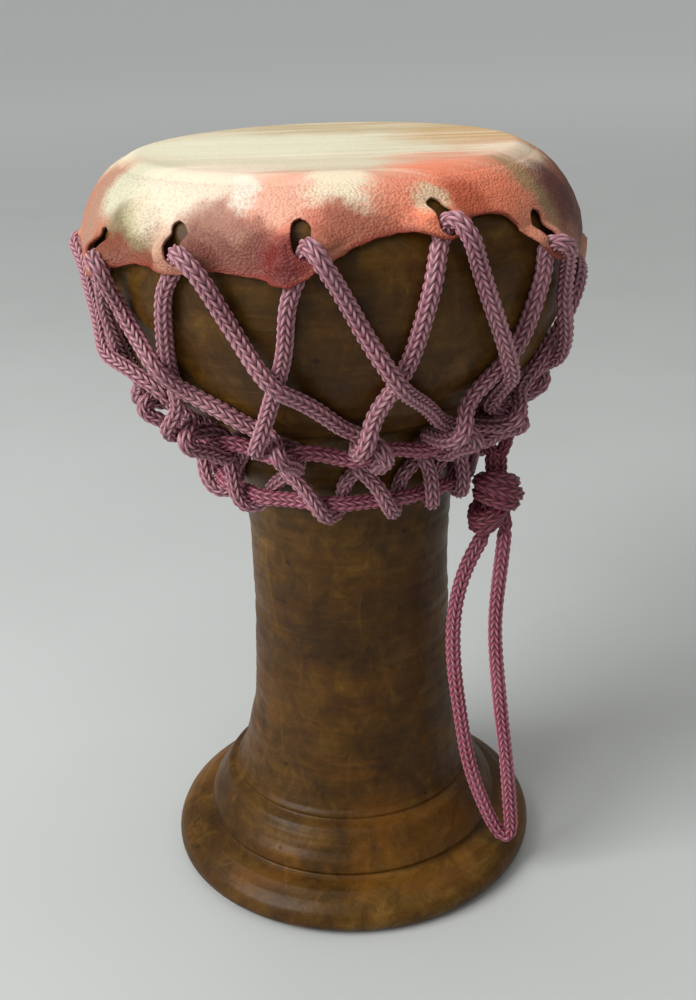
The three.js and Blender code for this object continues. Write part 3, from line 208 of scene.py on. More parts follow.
# ---------------------------------------------------------------- routes, in units of 0.01 mm
TENSION = [
    7776,723,21297,7803,823,21392,7851,898,21493,7919,963,21575,7996,1030,21621,8066,1107,21622,8107,1198,21589,
    8107,1301,21537,8068,1405,21467,8001,1499,21372,7920,1580,21252,7832,1649,21114,7742,1712,20963,7655,1773,
    20803,7576,1836,20634,7513,1905,20457,7471,1979,20269,7454,2059,20072,7451,2142,19866,7421,2227,19661,7324,
    2300,19486,7192,2346,19336,7063,2382,19195,6938,2415,19059,6815,2446,18928,6689,2472,18802,6560,2492,18679,
    6429,2503,18556,6297,2508,18431,6166,2510,18304,6037,2515,18176,5908,2534,18052,5784,2574,17939,5674,2646,
    17840,5589,2750,17756,5542,2883,17688,5538,3031,17631,5576,3184,17582,5647,3331,17537,5735,3464,17491,5821,
    3580,17431,5880,3667,17348,5894,3714,17256,5852,3715,17164,5760,3675,17079,5635,3605,17008,5497,3519,16953,
    5352,3429,16893,5206,3340,16820,5066,3258,16727,4936,3183,16617,4816,3111,16499,4698,3021,16406,4588,2914,
    16352,4491,2799,16342,4418,2684,16382,4377,2576,16472,4373,2484,16602,4407,2411,16756,4490,2367,16911,4630,
    2364,17036,4810,2402,17108,5003,2465,17139,5197,2538,17160,5387,2616,17182,5572,2697,17206,5749,2782,17235,
    5916,2872,17271,6066,2966,17317,6189,3061,17376,6274,3152,17451,6308,3230,17539,6285,3282,17634,6210,3303,
    17724,6102,3298,17805,5979,3286,17882,5860,3290,17966,5759,3330,18065,5686,3407,18177,5638,3513,18300,5610,
    3640,18428,5594,3778,18559,5585,3921,18693,5576,4064,18830,5566,4205,18970,5551,4341,19114,5532,4472,19263,
    5508,4596,19416,5483,4717,19572,5460,4840,19729,5443,4958,19889,5432,5068,20056,5424,5171,20227,5418,5270,
    20401,5411,5363,20578,5399,5446,20759,5386,5524,20942,5369,5598,21127,5346,5667,21312,5316,5735,21497,5278,
    5803,21679,5228,5871,21859,5167,5941,22033,5097,6012,22203,5019,6076,22371,4931,6124,22538,4849,6161,22707,
    4782,6192,22875,4735,6226,23037,4711,6276,23185,4705,6353,23304,4706,6458,23381,4698,6580,23409,4666,6707,
    23394,4607,6823,23342,4529,6915,23253,4433,6956,23119,4346,6972,22957,4277,6974,22779,4220,6966,22592,4170,
    6951,22401,4120,6931,22210,4064,6908,22020,4001,6883,21834,3930,6861,21649,3854,6843,21466,3778,6832,21283,
    3703,6831,21100,3635,6841,20914,3573,6861,20726,3519,6890,20537,3472,6926,20345,3430,6966,20152,3385,7004,
    19960,3317,7020,19772,3225,7002,19595,3114,6953,19438,2990,6886,19298,2855,6814,19171,2711,6744,19055,2560,
    6678,18945,2404,6617,18838,2247,6560,18731,2095,6502,18621,1951,6440,18505,1820,6372,18381,1702,6297,18251,
    1596,6218,18119,1489,6141,17995,1374,6082,17885,1247,6058,17792,1114,6079,17716,988,6146,17654,880,6254,17602,
    796,6390,17557,735,6538,17514,691,6679,17463,654,6793,17382,624,6857,17290,599,6852,17194,575,6779,17103,554,
    6654,17023,540,6501,16968,526,6332,16914,510,6161,16848,491,5996,16763,471,5841,16658,454,5698,16540,447,5555,
    16431,462,5402,16364,491,5250,16337,533,5113,16357,589,5002,16428,656,4928,16545,731,4894,16692,812,4908,16850,
    898,4991,16990,980,5138,17084,1049,5325,17124,1110,5523,17148,1166,5722,17169,1215,5920,17193,1258,6114,17221,
    1291,6304,17254,1312,6486,17295,1318,6653,17349,1304,6792,17416,1270,6890,17499,1219,6931,17593,1158,6910,
    17686,1097,6838,17773,1039,6740,17854,978,6643,17940,911,6576,18044,835,6555,18166,754,6577,18303,671,6632,
    18448,588,6707,18598,505,6791,18752,423,6878,18909,342,6962,19069,262,7040,19233,185,7112,19401,109,7180,19573,
    33,7251,19745,-37,7323,19919,-98,7393,20097,-155,7461,20276,-208,7525,20458,-259,7583,20642,-309,7636,20828,
    -356,7685,21016,-404,7730,21205,-452,7767,21395,-503,7799,21585,-558,7825,21775,-617,7841,21964,-682,7849,
    22152,-750,7848,22339,-817,7831,22524,-879,7802,22708,-934,7771,22889,-981,7749,23065,-1023,7748,23230,-1069,
    7776,23372,-1125,7836,23479,-1197,7920,23538,-1291,8009,23548,-1407,8082,23518,-1537,8117,23454,-1661,8087,
    23349,-1777,8037,23216,-1878,7984,23063,-1965,7935,22896,-2039,7888,22719,-2102,7839,22538,-2158,7786,22355,
    -2211,7727,22172,-2262,7660,21992,-2313,7588,21813,-2366,7513,21636,-2421,7439,21459,-2480,7370,21282,-2541,
    7309,21103,-2605,7257,20922,-2672,7214,20739,-2741,7180,20555,-2811,7151,20370,-2881,7124,20184,-2952,7097,
    19997,-3024,7061,19813,-3094,7002,19635,-3161,6913,19473,-3214,6785,19335,-3263,6636,19215,-3317,6479,19106,
    -3379,6318,19007,-3450,6157,18912,-3527,5998,18821,-3607,5840,18729,-3686,5684,18635,-3761,5530,18536,-3826,
    5377,18431,-3881,5227,18317,-3924,5080,18198,-3960,4935,18078,-3992,4785,17969,-4041,4641,17870,-4117,4513,
    17785,-4224,4412,17713,-4359,4347,17652,-4513,4324,17600,-4674,4337,17553,-4829,4375,17508,-4969,4423,17456,
    -5080,4457,17376,-5146,4466,17284,-5153,4437,17189,-5103,4370,17100,-5013,4277,17021,-4896,4174,16966,-4768,
    4064,16911,-4640,3951,16844,-4517,3840,16758,-4404,3735,16652,-4297,3637,16535,-4183,3545,16430,-4051,3465,
    16364,-3913,3398,16338,-3778,3351,16358,-3658,3332,16429,-3561,3345,16545,-3493,3387,16692,-3460,3462,16849,
    -3478,3581,16989,-3549,3734,17083,-3657,3901,17122,-3780,4067,17146,-3907,4230,17168,-4037,4387,17192,-4168,
    4536,17220,-4302,4675,17253,-4436,4800,17294,-4568,4904,17346,-4689,4977,17413,-4788,5010,17496,-4852,4997,
    17589,-4870,4942,17684,-4844,4860,17771,-4791,4768,17855,-4737,4681,17946,-4708,4612,18057,-4720,4567,18189,
    -4768,4547,18336,-4844,4544,18493,-4936,4552,18655,-5034,4566,18822,-5131,4581,18992,-5225,4596,19167,-5313,
    4609,19345,-5397,4623,19525,-5484,4637,19705,-5567,4655,19887,-5646,4675,20070,-5722,4695,20254,-5794,4714,
    20439,-5863,4733,20626,-5929,4750,20814,-5992,4764,21003,-6051,4774,21193,-6107,4780,21385,-6159,4781,21578,
    -6206,4777,21772,-6247,4764,21966,-6284,4747,22161,-6317,4727,22354,-6347,4705,22542,-6384,4688,22721,-6437,
    4681,22881,-6514,4684,23011,-6617,4692,23097,-6739,4692,23129,-6867,4669,23110,-6987,4612,23051,-7086,4522,
    22963,-7137,4393,22852,-7170,4251,22726,-7193,4108,22590,-7209,3969,22447,-7218,3835,22299,-7219,3706,22147,
    -7212,3580,21992,-7198,3458,21835,-7178,3339,21676,-7156,3223,21516,-7135,3110,21353,-7120,3000,21188,-7113,
    2894,21020,-7117,2790,20847,-7133,2688,20671,-7160,2586,20490,-7195,2484,20305,-7235,2379,20117,-7274,2270,
    19929,-7306,2156,19745,-7319,2036,19571,-7288,1902,19422,-7210,1764,19299,-7112,1627,19196,-7016,1488,19101,
    -6931,1345,19009,-6858,1194,18919,-6795,1037,18830,-6738,874,18742,-6685,708,18655,-6632,541,18568,-6578,376,
    18481,-6520,216,18391,-6456,64,18297,-6386,-80,18198,-6307,-218,18096,-6217,-352,17999,-6115,-489,17916,-6019,
    -636,17842,-5941,-793,17776,-5893,-957,17716,-5883,-1118,17660,-5911,-1264,17608,-5975,-1386,17557,-6067,-1479,
    17510,-6161,-1549,17451,-6233,-1598,17364,-6265,-1626,17268,-6243,-1633,17171,-6171,-1622,17080,-6069,-1600,
    17001,-5954,-1572,16943,-5835,-1545,16882,-5714,-1522,16809,-5596,-1503,16718,-5482,-1486,16610,-5369,-1466,
    16496,-5242,-1425,16407,-5109,-1366,16352,-4981,-1294,16334,-4870,-1212,16360,-4788,-1124,16435,-4744,-1037,
    16551,-4739,-953,16695,-4779,-878,16846,-4880,-817,16977,-5033,-777,17065,-5211,-755,17101,-5391,-743,17115,
    -5564,-737,17126,-5728,-735,17141,-5884,-742,17162,-6031,-758,17190,-6168,-789,17226,-6291,-835,17269,-6394,
    -896,17323,-6468,-968,17388,-6501,-1041,17464,-6493,-1103,17545,-6452,-1149,17627,-6394,-1185,17711,-6333,
    -1229,17805,-6277,-1298,17909,-6245,-1396,18027,-6238,-1517,18154,-6252,-1652,18283,-6281,-1794,18413,-6317,
    -1939,18543,-6356,-2083,18677,-6393,-2225,18817,-6427,-2364,18964,-6456,-2499,19117,-6480,-2631,19276,-6499,
    -2760,19437,-6515,-2887,19600,-6534,-3014,19764,-6553,-3136,19928,-6571,-3251,20093,-6591,-3358,20259,-6613,
    -3457,20429,-6634,-3549,20602,-6654,-3637,20778,-6671,-3722,20956,-6681,-3808,21134,-6681,-3897,21310,-6670,
    -3992,21483,-6649,-4092,21651,-6619,-4194,21816,-6581,-4290,21980,-6545,-4377,22145,-6521,-4453,22310,-6516,
    -4521,22471,-6533,-4591,22616,-6571,-4674,22731,-6617,-4776,22806,-6656,-4894,22835,-6666,-5022,22829,-6642,
    -5149,22801,-6589,-5256,22751,-6509,-5317,22672,-6440,-5341,22561,-6399,-5330,22423,-6371,-5289,22267,-6316,
    -5203,22104,-6258,-5110,21934,-6200,-5027,21760,-6139,-4964,21584,-6073,-4924,21407,-6001,-4912,21234,-5921,
    -4930,21067,-5835,-4980,20909,-5745,-5059,20764,-5653,-5161,20630,-5561,-5278,20505,-5468,-5403,20384,-5376,
    -5528,20263,-5285,-5644,20136,-5196,-5743,19999,-5103,-5810,19851,-4992,-5826,19702,-4874,-5803,19555,-4753,
    -5748,19416,-4628,-5676,19285,-4496,-5611,19160,-4354,-5564,19042,-4200,-5540,18932,-4039,-5539,18829,-3872,
    -5557,18732,-3702,-5586,18638,-3532,-5619,18544,-3362,-5650,18446,-3195,-5673,18343,-3030,-5685,18234,-2866,
    -5688,18122,-2702,-5681,18016,-2534,-5672,17924,-2368,-5677,17841,-2210,-5709,17767,-2068,-5775,17702,-1951,
    -5879,17645,-1867,-6013,17594,-1813,-6167,17547,-1783,-6325,17501,-1767,-6471,17447,-1749,-6583,17368,-1725,
    -6641,17278,-1692,-6629,17185,-1649,-6551,17097,-1600,-6426,17019,-1555,-6276,16964,-1508,-6114,16907,-1459,
    -5950,16839,-1408,-5793,16752,-1357,-5648,16646,-1310,-5511,16529,-1274,-5370,16425,-1258,-5217,16361,-1258,
    -5065,16337,-1276,-4924,16361,-1315,-4807,16436,-1373,-4724,16554,-1445,-4678,16701,-1534,-4683,16859,-1638,
    -4754,16996,-1749,-4887,17084,-1853,-5059,17121,-1952,-5241,17144,-2044,-5426,17165,-2130,-5610,17189,-2208,
    -5792,17217,-2276,-5972,17253,-2331,-6146,17297,-2367,-6309,17356,-2379,-6451,17433,-2362,-6563,17533,-2319,
    -6633,17657,-2257,-6664,17801,-2189,-6669,17962,-2122,-6663,18135,-2057,-6659,18316,-1995,-6663,18500,-1934,
    -6682,18685,-1874,-6717,18868,-1815,-6767,19049,-1758,-6828,19228,-1703,-6898,19405,-1651,-6975,19582,-1596,
    -7061,19757,-1537,-7148,19927,-1483,-7232,20099,-1435,-7311,20275,-1394,-7386,20455,-1359,-7454,20638,-1330,
    -7518,20825,-1306,-7576,21014,-1287,-7628,21205,-1269,-7673,21398,-1250,-7713,21591,-1225,-7748,21784,-1188,
    -7775,21975,-1138,-7797,22162,-1071,-7812,22344,-991,-7812,22521,-905,-7801,22693,-825,-7784,22864,-758,-7767,
    23034,-710,-7761,23200,-674,-7778,23352,-642,-7828,23477,-608,-7915,23557,-565,-8028,23581,-511,-8147,23548,
    -442,-8250,23467,-360,-8305,23343,-268,-8337,23197,-169,-8318,23029,-69,-8248,22847,30,-8172,22664,125,-8103,
    22484,216,-8040,22305,302,-7981,22128,385,-7925,21952,467,-7872,21777,549,-7824,21601,633,-7783,21425,720,
    -7749,21249,811,-7725,21074,905,-7710,20900,1003,-7702,20727,1104,-7697,20556,1205,-7690,20385,1307,-7677,
    20216,1407,-7652,20048,1506,-7612,19883,1604,-7557,19721,1703,-7488,19563,1804,-7404,19414,1900,-7282,19282,
    1983,-7131,19175,2067,-6976,19072,2156,-6828,18968,2250,-6686,18861,2345,-6548,18751,2439,-6413,18638,2529,
    -6279,18523,2613,-6144,18405,2687,-6009,18286,2750,-5873,18166,2806,-5740,18048,2861,-5612,17940,2933,-5498,
    17843,3036,-5410,17761,3165,-5358,17692,3313,-5347,17633,3466,-5377,17582,3615,-5440,17536,3751,-5521,17488,
    3870,-5601,17426,3958,-5656,17343,4005,-5669,17251,4003,-5626,17159,3959,-5534,17074,3884,-5411,17005,3794,
    -5275,16951,3699,-5132,16892,3608,-4989,16818,3525,-4851,16724,3451,-4724,16612,3380,-4606,16494,3290,-4490,
    16408,3188,-4382,16362,3083,-4289,16360,2981,-4221,16409,2887,-4186,16507,2795,-4184,16636,2704,-4217,16776,
    2647,-4306,16917,2636,-4446,17034,2669,-4625,17103,2731,-4816,17133,2806,-5007,17154,2887,-5194,17176,2972,
    -5376,17200,3062,-5551,17230,3157,-5715,17267,3255,-5863,17315,3354,-5985,17378,3449,-6071,17459,3532,-6108,
    17561,3591,-6094,17679,3621,-6037,17809,3631,-5956,17946,3636,-5866,18088,3658,-5781,18233,3712,-5709,18377,
    3800,-5653,18517,3915,-5608,18651,4049,-5568,18781,4191,-5530,18908,4335,-5490,19036,4478,-5450,19167,4618,
    -5408,19303,4760,-5362,19442,4894,-5322,19579,5018,-5294,19723,5127,-5280,19879,5220,-5281,20045,5300,-5297,
    20220,5368,-5321,20402,5429,-5347,20587,5487,-5367,20775,5544,-5377,20964,5604,-5375,21152,5665,-5361,21339,
    5727,-5336,21524,5785,-5305,21704,5836,-5269,21877,5876,-5236,22038,5901,-5214,22181,5909,-5211,22298,5899,
    -5227,22390,5883,-5250,22476,5880,-5270,22580,5903,-5289,22695,5956,-5314,22803,6039,-5346,22882,6149,-5379,
    22914,6275,-5398,22898,6402,-5387,22843,6514,-5334,22763,6575,-5222,22658,6594,-5068,22535,6605,-4908,22401,
    6618,-4755,22259,6633,-4614,22110,6648,-4487,21954,6658,-4372,21791,6664,-4269,21621,6665,-4178,21446,6666,
    -4097,21266,6671,-4023,21084,6684,-3956,20902,6709,-3890,20720,6743,-3821,20538,6780,-3745,20354,6816,-3659,
    20163,6845,-3559,19961,6865,-3445,19746,6875,-3317,19517,6872,-3177,19282,6851,-3025,19054,6795,-2861,18856,
    6672,-2695,18721,6543,-2540,18623,6443,-2393,18533,6374,-2252,18445,6328,-2117,18358,6293,-1987,18271,6259,
    -1863,18184,6220,-1747,18095,6174,-1636,18006,6113,-1524,17929,6057,-1406,17856,6016,-1275,17788,6001,-1132,
    17727,6016,-983,17671,6060,-840,17618,6130,-715,17562,6218,-613,17502,6316,-538,17440,6424,-489,17383,6518,
    -459,17309,6569,-443,17221,6559,-433,17124,6494,-426,17025,6394,-419,16935,6279,-416,16884,6159,-409,16832,
    6041,-398,16765,5927,-383,16678,5818,-367,16574,5703,-354,16471,5572,-355,16394,5433,-369,16350,5296,-397,
    16343,5172,-439,16383,5074,-497,16469,5007,-571,16588,4978,-655,16729,5001,-749,16872,5085,-844,16992,5220,
    -933,17069,5380,-1011,17102,5543,-1080,17123,5702,-1138,17142,5855,-1183,17163,6003,-1212,17187,6146,-1224,
    17213,6284,-1219,17243,6413,-1195,17283,6525,-1153,17338,6610,-1090,17411,6659,-1007,17500,6673,-904,17594,
    6661,-784,17684,6631,-646,17764,6580,-491,17817,6516,-327,17842,6458,-158,17864,6417,11,17893,6398,176,17933,
    6401,335,17985,6421,487,18049,6454,632,18124,6496,772,18212,6544,910,18315,6598,1047,18433,6656,1186,18570,
    6718,1326,18724,6780,1469,18894,6841,1613,19076,6896,1758,19263,6940,1904,19451,6975,2051,19633,7003,2206,
    19809,7034,2344,19982,7062,2473,20151,7085,2595,20315,7103,2712,20477,7112,2821,20643,7116,2927,20811,7117,
    3030,20981,7113,3131,21152,7100,3231,21324,7080,3333,21494,7053,3438,21660,7018,3545,21822,6973,3652,21980,
    6922,3756,22135,6872,3851,22291,6831,3930,22451,6808,3995,22610,6808,4056,22759,6832,4123,22883,6877,4206,
    22964,6929,4305,22992,6967,4417,22972,6976,4538,22917,6952,4655,22840,6899,4750,22739,6811,4799,22607,6723,
    4815,22451,6646,4810,22280,6576,4791,22100,6509,4768,21917,6440,4747,21733,6365,4732,21550,6288,4728,21368,
    6211,4734,21187,6139,4753,21005,6075,4784,20821,6023,4824,20635,5983,4872,20447,5952,4925,20257,5927,4980,
    20065,5899,5033,19874,5851,5075,19685,5768,5095,19508,5648,5089,19353,5505,5066,19218,5350,5042,19095,5189,
    5026,18978,5026,5018,18865,4865,5014,18751,4708,5010,18633,4560,4998,18510,4424,4975,18379,4300,4941,18244,
    4186,4899,18109,4071,4862,17985,3955,4853,17874,3842,4887,17781,3742,4967,17706,3668,5088,17645,3627,5236,
    17594,3618,5397,17549,3634,5557,17505,3661,5701,17454,3678,5812,17373,3678,5873,17281,3649,5869,17186,3591,
    5805,17096,3513,5698,17017,3430,5566,16961,3341,5423,16905,3250,5279,16836,3160,5143,16748,3075,5017,16640,
    2997,4898,16522,2926,4769,16421,2870,4626,16359,2827,4479,16339,2805,4339,16366,2808,4219,16444,2837,4128,
    16565,2891,4071,16715,2976,4057,16871,3095,4101,17006,3238,4202,17092,3385,4337,17129,3529,4485,17152,3668,
    4636,17173,3801,4789,17197,3926,4943,17226,4040,5097,17260,4139,5248,17303,4215,5391,17359,4260,5518,17429,
    4267,5614,17515,4233,5665,17609,4165,5664,17701,4074,5621,17785,3974,5557,17865,3871,5502,17950,3772,5481,
    18052,3685,5505,18171,3610,5569,18302,3546,5661,18440,3489,5772,18583,3438,5892,18728,3388,6013,18876,3337,
    6133,19027,3285,6247,19182,3230,6354,19340,3173,6455,19503,3115,6550,19668,3058,6647,19833,3008,6743,20002,
    2972,6834,20177,2940,6921,20355,2909,7004,20534,2875,7077,20718,2841,7143,20903,2807,7206,21089,2772,7263,
    21277,2735,7316,21466,2693,7362,21655,2646,7404,21844,2591,7440,22032,2528,7470,22217,2455,7493,22400,2373,
    7500,22581,2287,7499,22759,2202,7489,22935,2121,7466,23109,2053,7443,23280,1999,7434,23446,1957,7453,23597,
    1921,7508,23721,1884,7596,23802,1833,7705,23833,1761,7815,23814,1668,7912,23752,1564,7983,23653,1456,8008,
    23515,1358,8015,23353,1275,8016,23176,1206,8012,22991,1145,8002,22803,1088,7986,22612,1032,7962,22423,973,7931,
    22234,912,7896,22048,848,7859,21862,782,7824,21677,716,7792,21492,650,7765,21306,584,7746,21118,521,7734,20929,
    459,7729,20739,398,7727,20548,338,7729,20357,278,7732,20165,216,7732,19973,149,7723,19786,72,7687,19611,-14,
    7609,19453,-106,7502,19315,-206,7383,19190,-316,7261,19078,-436,7140,18973,-562,7023,18874,-693,6909,18776,
    -822,6797,18676,-947,6685,18572,-1062,6572,18460,-1165,6457,18341,-1254,6342,18216,-1335,6225,18091,-1416,6106,
    17975,-1511,6001,17872,-1628,5923,17783,-1765,5885,17710,-1912,5891,17648,-2059,5943,17597,-2195,6029,17550,
    -2316,6135,17506,-2417,6241,17454,-2499,6321,17373,-2550,6357,17281,-2567,6331,17187,-2551,6247,17097,-2511,
    6121,17018,-2453,5976,16963,-2390,5821,16906,-2327,5663,16837,-2269,5510,16749,-2217,5368,16641,-2166,5235,
    16522,-2101,5101,16420,-2018,4969,16357,-1924,4846,16335,-1825,4744,16360,-1727,4675,16435,-1636,4644,16554,
    -1557,4653,16702,-1493,4709,16857,-1458,4829,16992,-1455,5001,17080,-1478,5198,17120,-1513,5401,17145,-1554,
    5602,17169,-1599,5800,17194,-1649,5991,17222,-1706,6175,17256,-1770,6346,17298,-1841,6495,17352,-1917,6611,
    17421,-1992,6679,17505,-2056,6690,17598,-2099,6641,17692,-2118,6549,17779,-2123,6437,17862,-2128,6330,17953,
    -2151,6249,18063,-2197,6209,18194,-2264,6207,18339,-2345,6232,18494,-2434,6275,18653,-2527,6326,18816,-2619,
    6379,18982,-2708,6429,19153,-2794,6475,19327,-2876,6517,19505,-2960,6559,19682,-3042,6602,19860,-3117,6647,
    20039,-3187,6691,20220,-3253,6734,20404,-3317,6776,20588,-3378,6813,20775,-3436,6848,20963,-3491,6878,21152,
    -3542,6903,21343,-3592,6922,21536,-3639,6934,21729,-3685,6939,21923,-3730,6935,22117,-3773,6923,22312,-3812,
    6898,22505,-3844,6859,22697,-3871,6813,22886,-3891,6759,23072,-3911,6713,23251,-3940,6684,23421,-3986,6681,
    23572,-4057,6705,23691,-4155,6749,23766,-4277,6794,23789,-4415,6819,23765,-4552,6809,23699,-4662,6743,23587,
    -4758,6659,23450,-4846,6575,23297,-4925,6495,23133,-4995,6419,22962,-5055,6345,22787,-5106,6269,22610,-5149,
    6190,22432,-5184,6107,22255,-5213,6021,22077,-5239,5932,21900,-5264,5844,21723,-5290,5758,21545,-5318,5675,
    21365,-5351,5598,21185,-5389,5526,21002,-5431,5460,20819,-5476,5397,20635,-5524,5336,20450,-5573,5275,20266,
    -5622,5212,20082,-5671,5143,19900,-5717,5066,19723,-5757,4973,19553,-5777,4851,19402,-5774,4702,19271,-5759,
    4537,19160,-5746,4364,19061,-5741,4187,18970,-5744,4007,18883,-5753,3826,18798,-5765,3647,18712,-5777,3469,
    18623,-5784,3295,18529,-5784,3126,18427,-5774,2964,18317,-5753,2806,18199,-5722,2652,18080,-5679,2492,17972,
    -5641,2326,17878,-5626,2158,17798,-5644,1996,17731,-5700,1850,17675,-5789,1731,17626,-5900,1643,17582,-6020,
    1586,17536,-6134,1552,17483,-6229,1527,17402,-6288,1509,17310,-6295,1489,17213,-6246,1464,17120,-6157,1435,
    17037,-6046,1408,16976,-5927,1379,16917,-5806,1346,16847,-5690,1311,16763,-5578,1275,16663,-5468,1239,16550,
    -5345,1212,16447,-5205,1200,16377,-5059,1200,16340,-4917,1214,16344,-4794,1247,16398,-4701,1297,16498,-4643,
    1363,16633,-4622,1441,16784,-4656,1536,16929,-4752,1641,17039,-4891,1745,17097,-5046,1841,17118,-5201,1930,
    17129,-5352,2008,17141,-5500,2076,17157,-5644,2129,17179,-5786,2166,17206,-5924,2186,17242,-6053,2186,17289,
    -6163,2167,17352,-6240,2133,17433,-6272,2093,17524,-6257,2064,17617,-6207,2051,17707,-6148,2052,17802,-6102,
    2058,17909,-6092,2057,18037,-6125,2045,18181,-6193,2025,18335,-6283,2000,18495,-6384,1975,18660,-6486,1952,
    18831,-6586,1933,19010,-6681,1917,19194,-6772,1900,19383,-6859,1879,19574,-6948,1849,19762,-7035,1820,19946,
    -7118,1793,20128,-7196,1768,20310,-7271,1747,20493,-7341,1728,20677,-7408,1710,20862,-7469,1692,21049,-7526,
    1671,21237,-7577,1648,21426,-7623,1623,21613,-7667,1598,21795,-7717,1574,21964,-7782,1550,22110,-7866,1526,
    22219,-7972,1495,22278,-8090,1452,22280,-8205,1385,22238,-8299,1291,22173,-8349,1171,22100,-8302,1031,22021,
    -8225,887,21930,-8145,747,21828,-8071,609,21717,-8007,470,21604,-7951,326,21491,-7900,176,21383,-7853,19,21279,
    -7805,-142,21178,-7756,-307,21081,-7704,-474,20985,-7650,-641,20890,-7594,-808,20796,-7537,-976,20703,-7480,
    -1144,20611,-7424,-1312,20520,-7369,-1482,20429,-7315,-1652,20337,-7264,-1825,20243,-7216,-1999,20144,-7171,
    -2176,20039,-7129,-2355,19929,-7087,-2536,19815,-7043,-2716,19702,-6992,-2892,19594,-6923,-3059,19500,-6807,
    -3200,19428,-6670,-3323,19372,-6529,-3438,19322,-6390,-3551,19272,-6252,-3661,19217,-6113,-3768,19157,-5971,
    -3871,19090,-5826,-3966,19016,-5679,-4052,18934,-5532,-4122,18842,-5387,-4172,18739,-5250,-4197,18623,-5124,
    -4194,18494,-5012,-4166,18355,-4913,-4123,18212,-4818,-4079,18072,-4715,-4046,17949,-4610,-4051,17843,-4514,
    -4106,17756,-4440,-4207,17686,-4398,-4342,17629,-4393,-4497,17582,-4420,-4656,17538,-4467,-4808,17493,-4519,
    -4942,17433,-4553,-5042,17351,-4556,-5091,17259,-4516,-5081,17166,-4438,-5019,17080,-4336,-4919,17009,-4224,
    -4802,16954,-4106,-4678,16896,-3986,-4555,16824,-3870,-4440,16734,-3760,-4335,16626,-3658,-4234,16510,-3563,
    -4120,16415,-3480,-3990,16357,-3413,-3856,16341,-3369,-3726,16373,-3357,-3611,16456,-3376,-3518,16581,-3426,
    -3453,16732,-3514,-3425,16889,-3645,-3449,17019,-3809,-3525,17098,-3981,-3631,17132,-4151,-3749,17154,-4317,
    -3871,17174,-4476,-3996,17198,-4627,-4123,17226,-4768,-4252,17261,-4892,-4383,17305,-4993,-4511,17363,-5059,
    -4630,17439,-5082,-4731,17533,-5055,-4803,17644,-4985,-4846,17763,-4890,-4867,17888,-4792,-4877,18023,-4712,
    -4889,18172,-4661,-4912,18336,-4641,-4946,18512,-4644,-4992,18693,-4662,-5047,18877,-4689,-5109,19061,-4718,
    -5177,19246,-4745,-5250,19429,-4766,-5329,19611,-4776,-5418,19789,-4775,-5514,19964,-4769,-5612,20139,-4760,
    -5708,20313,-4748,-5803,20489,-4734,-5893,20667,-4719,-5979,20847,-4704,-6059,21029,-4690,-6132,21214,-4675,
    -6198,21401,-4658,-6260,21589,-4637,-6317,21777,-4603,-6367,21961,-4557,-6420,22139,-4494,-6478,22304,-4413,
    -6538,22454,-4317,-6591,22590,-4224,-6639,22723,-4152,-6681,22862,-4108,-6727,23004,-4087,-6791,23135,-4081,
    -6882,23239,-4075,-7000,23302,-4054,-7133,23317,-4005,-7264,23291,-3923,-7372,23227,-3803,-7420,23119,-3677,
    -7442,22984,-3557,-7451,22831,-3448,-7451,22667,-3349,-7442,22495,-3258,-7425,22318,-3171,-7400,22141,-3086,
    -7370,21963,-3000,-7337,21785,-2913,-7306,21609,-2825,-7282,21433,-2735,-7268,21258,-2643,-7267,21083,-2550,
    -7282,20910,-2456,-7310,20739,-2359,-7348,20570,-2260,-7391,20403,-2157,-7432,20237,-2049,-7466,20073,-1935,
    -7489,19912,-1815,-7495,19754,-1687,-7478,19604,-1548,-7413,19474,-1410,-7309,19368,-1271,-7199,19267,-1131,
    -7098,19165,-988,-7007,19057,-846,-6925,18945,-704,-6847,18827,-566,-6772,18706,-432,-6695,18580,-304,-6616,
    18450,-181,-6534,18317,-61,-6449,18185,60,-6363,18060,187,-6271,17952,324,-6194,17858,471,-6147,17777,622,
    -6140,17708,770,-6178,17649,905,-6260,17598,1021,-6373,17551,1117,-6502,17506,1195,-6627,17454,1262,-6724,
    17374,1309,-6772,17283,1335,-6754,17190,1342,-6671,17101,1333,-6541,17022,1309,-6387,16967,1282,-6220,16912,
    1256,-6051,16844,1234,-5887,16759,1217,-5733,16654,1201,-5589,16538,1174,-5447,16433,1126,-5304,16367,1064,
    -5167,16342,991,-5048,16365,910,-4960,16440,827,-4909,16559,742,-4897,16704,659,-4932,16859,590,-5034,16995,
    543,-5197,17085,519,-5395,17122,507,-5601,17144,502,-5808,17165,503,-6011,17189,510,-6210,17217,525,-6402,
    17252,549,-6583,17296,585,-6746,17353,633,-6879,17429,690,-6972,17526,752,-7012,17646,807,-7004,17785,853,
    -6964,17938,893,-6911,18100,939,-6861,18267,1002,-6825,18434,1085,-6810,18597,1185,-6815,18755,1295,-6834,
    18910,1406,-6863,19067,1511,-6897,19229,1610,-6937,19396,1707,-6986,19565,1803,-7036,19732,1890,-7088,19903,
    1968,-7138,20078,2039,-7190,20257,2105,-7242,20438,2165,-7287,20624,2221,-7325,20813,2275,-7362,21002,2330,
    -7394,21192,2382,-7417,21384,2435,-7434,21575,2489,-7446,21767,2542,-7450,21958,2592,-7444,22150,2637,-7428,
    22341,2677,-7398,22531,2712,-7359,22717,2744,-7312,22895,2772,-7251,23059,2803,-7185,23203,2840,-7123,23323,
    2880,-7069,23421,2915,-7023,23520,2943,-6990,23636,2971,-6979,23759,3011,-6996,23874,3069,-7045,23957,3145,
    -7119,23991,3231,-7204,23971,3322,-7284,23903,3418,-7344,23801,3514,-7366,23670,3613,-7360,23525,3699,-7307,
    23361,3754,-7185,23168,3806,-7064,22971,3862,-6962,22777,3921,-6881,22587,3981,-6817,22399,4042,-6765,22212,
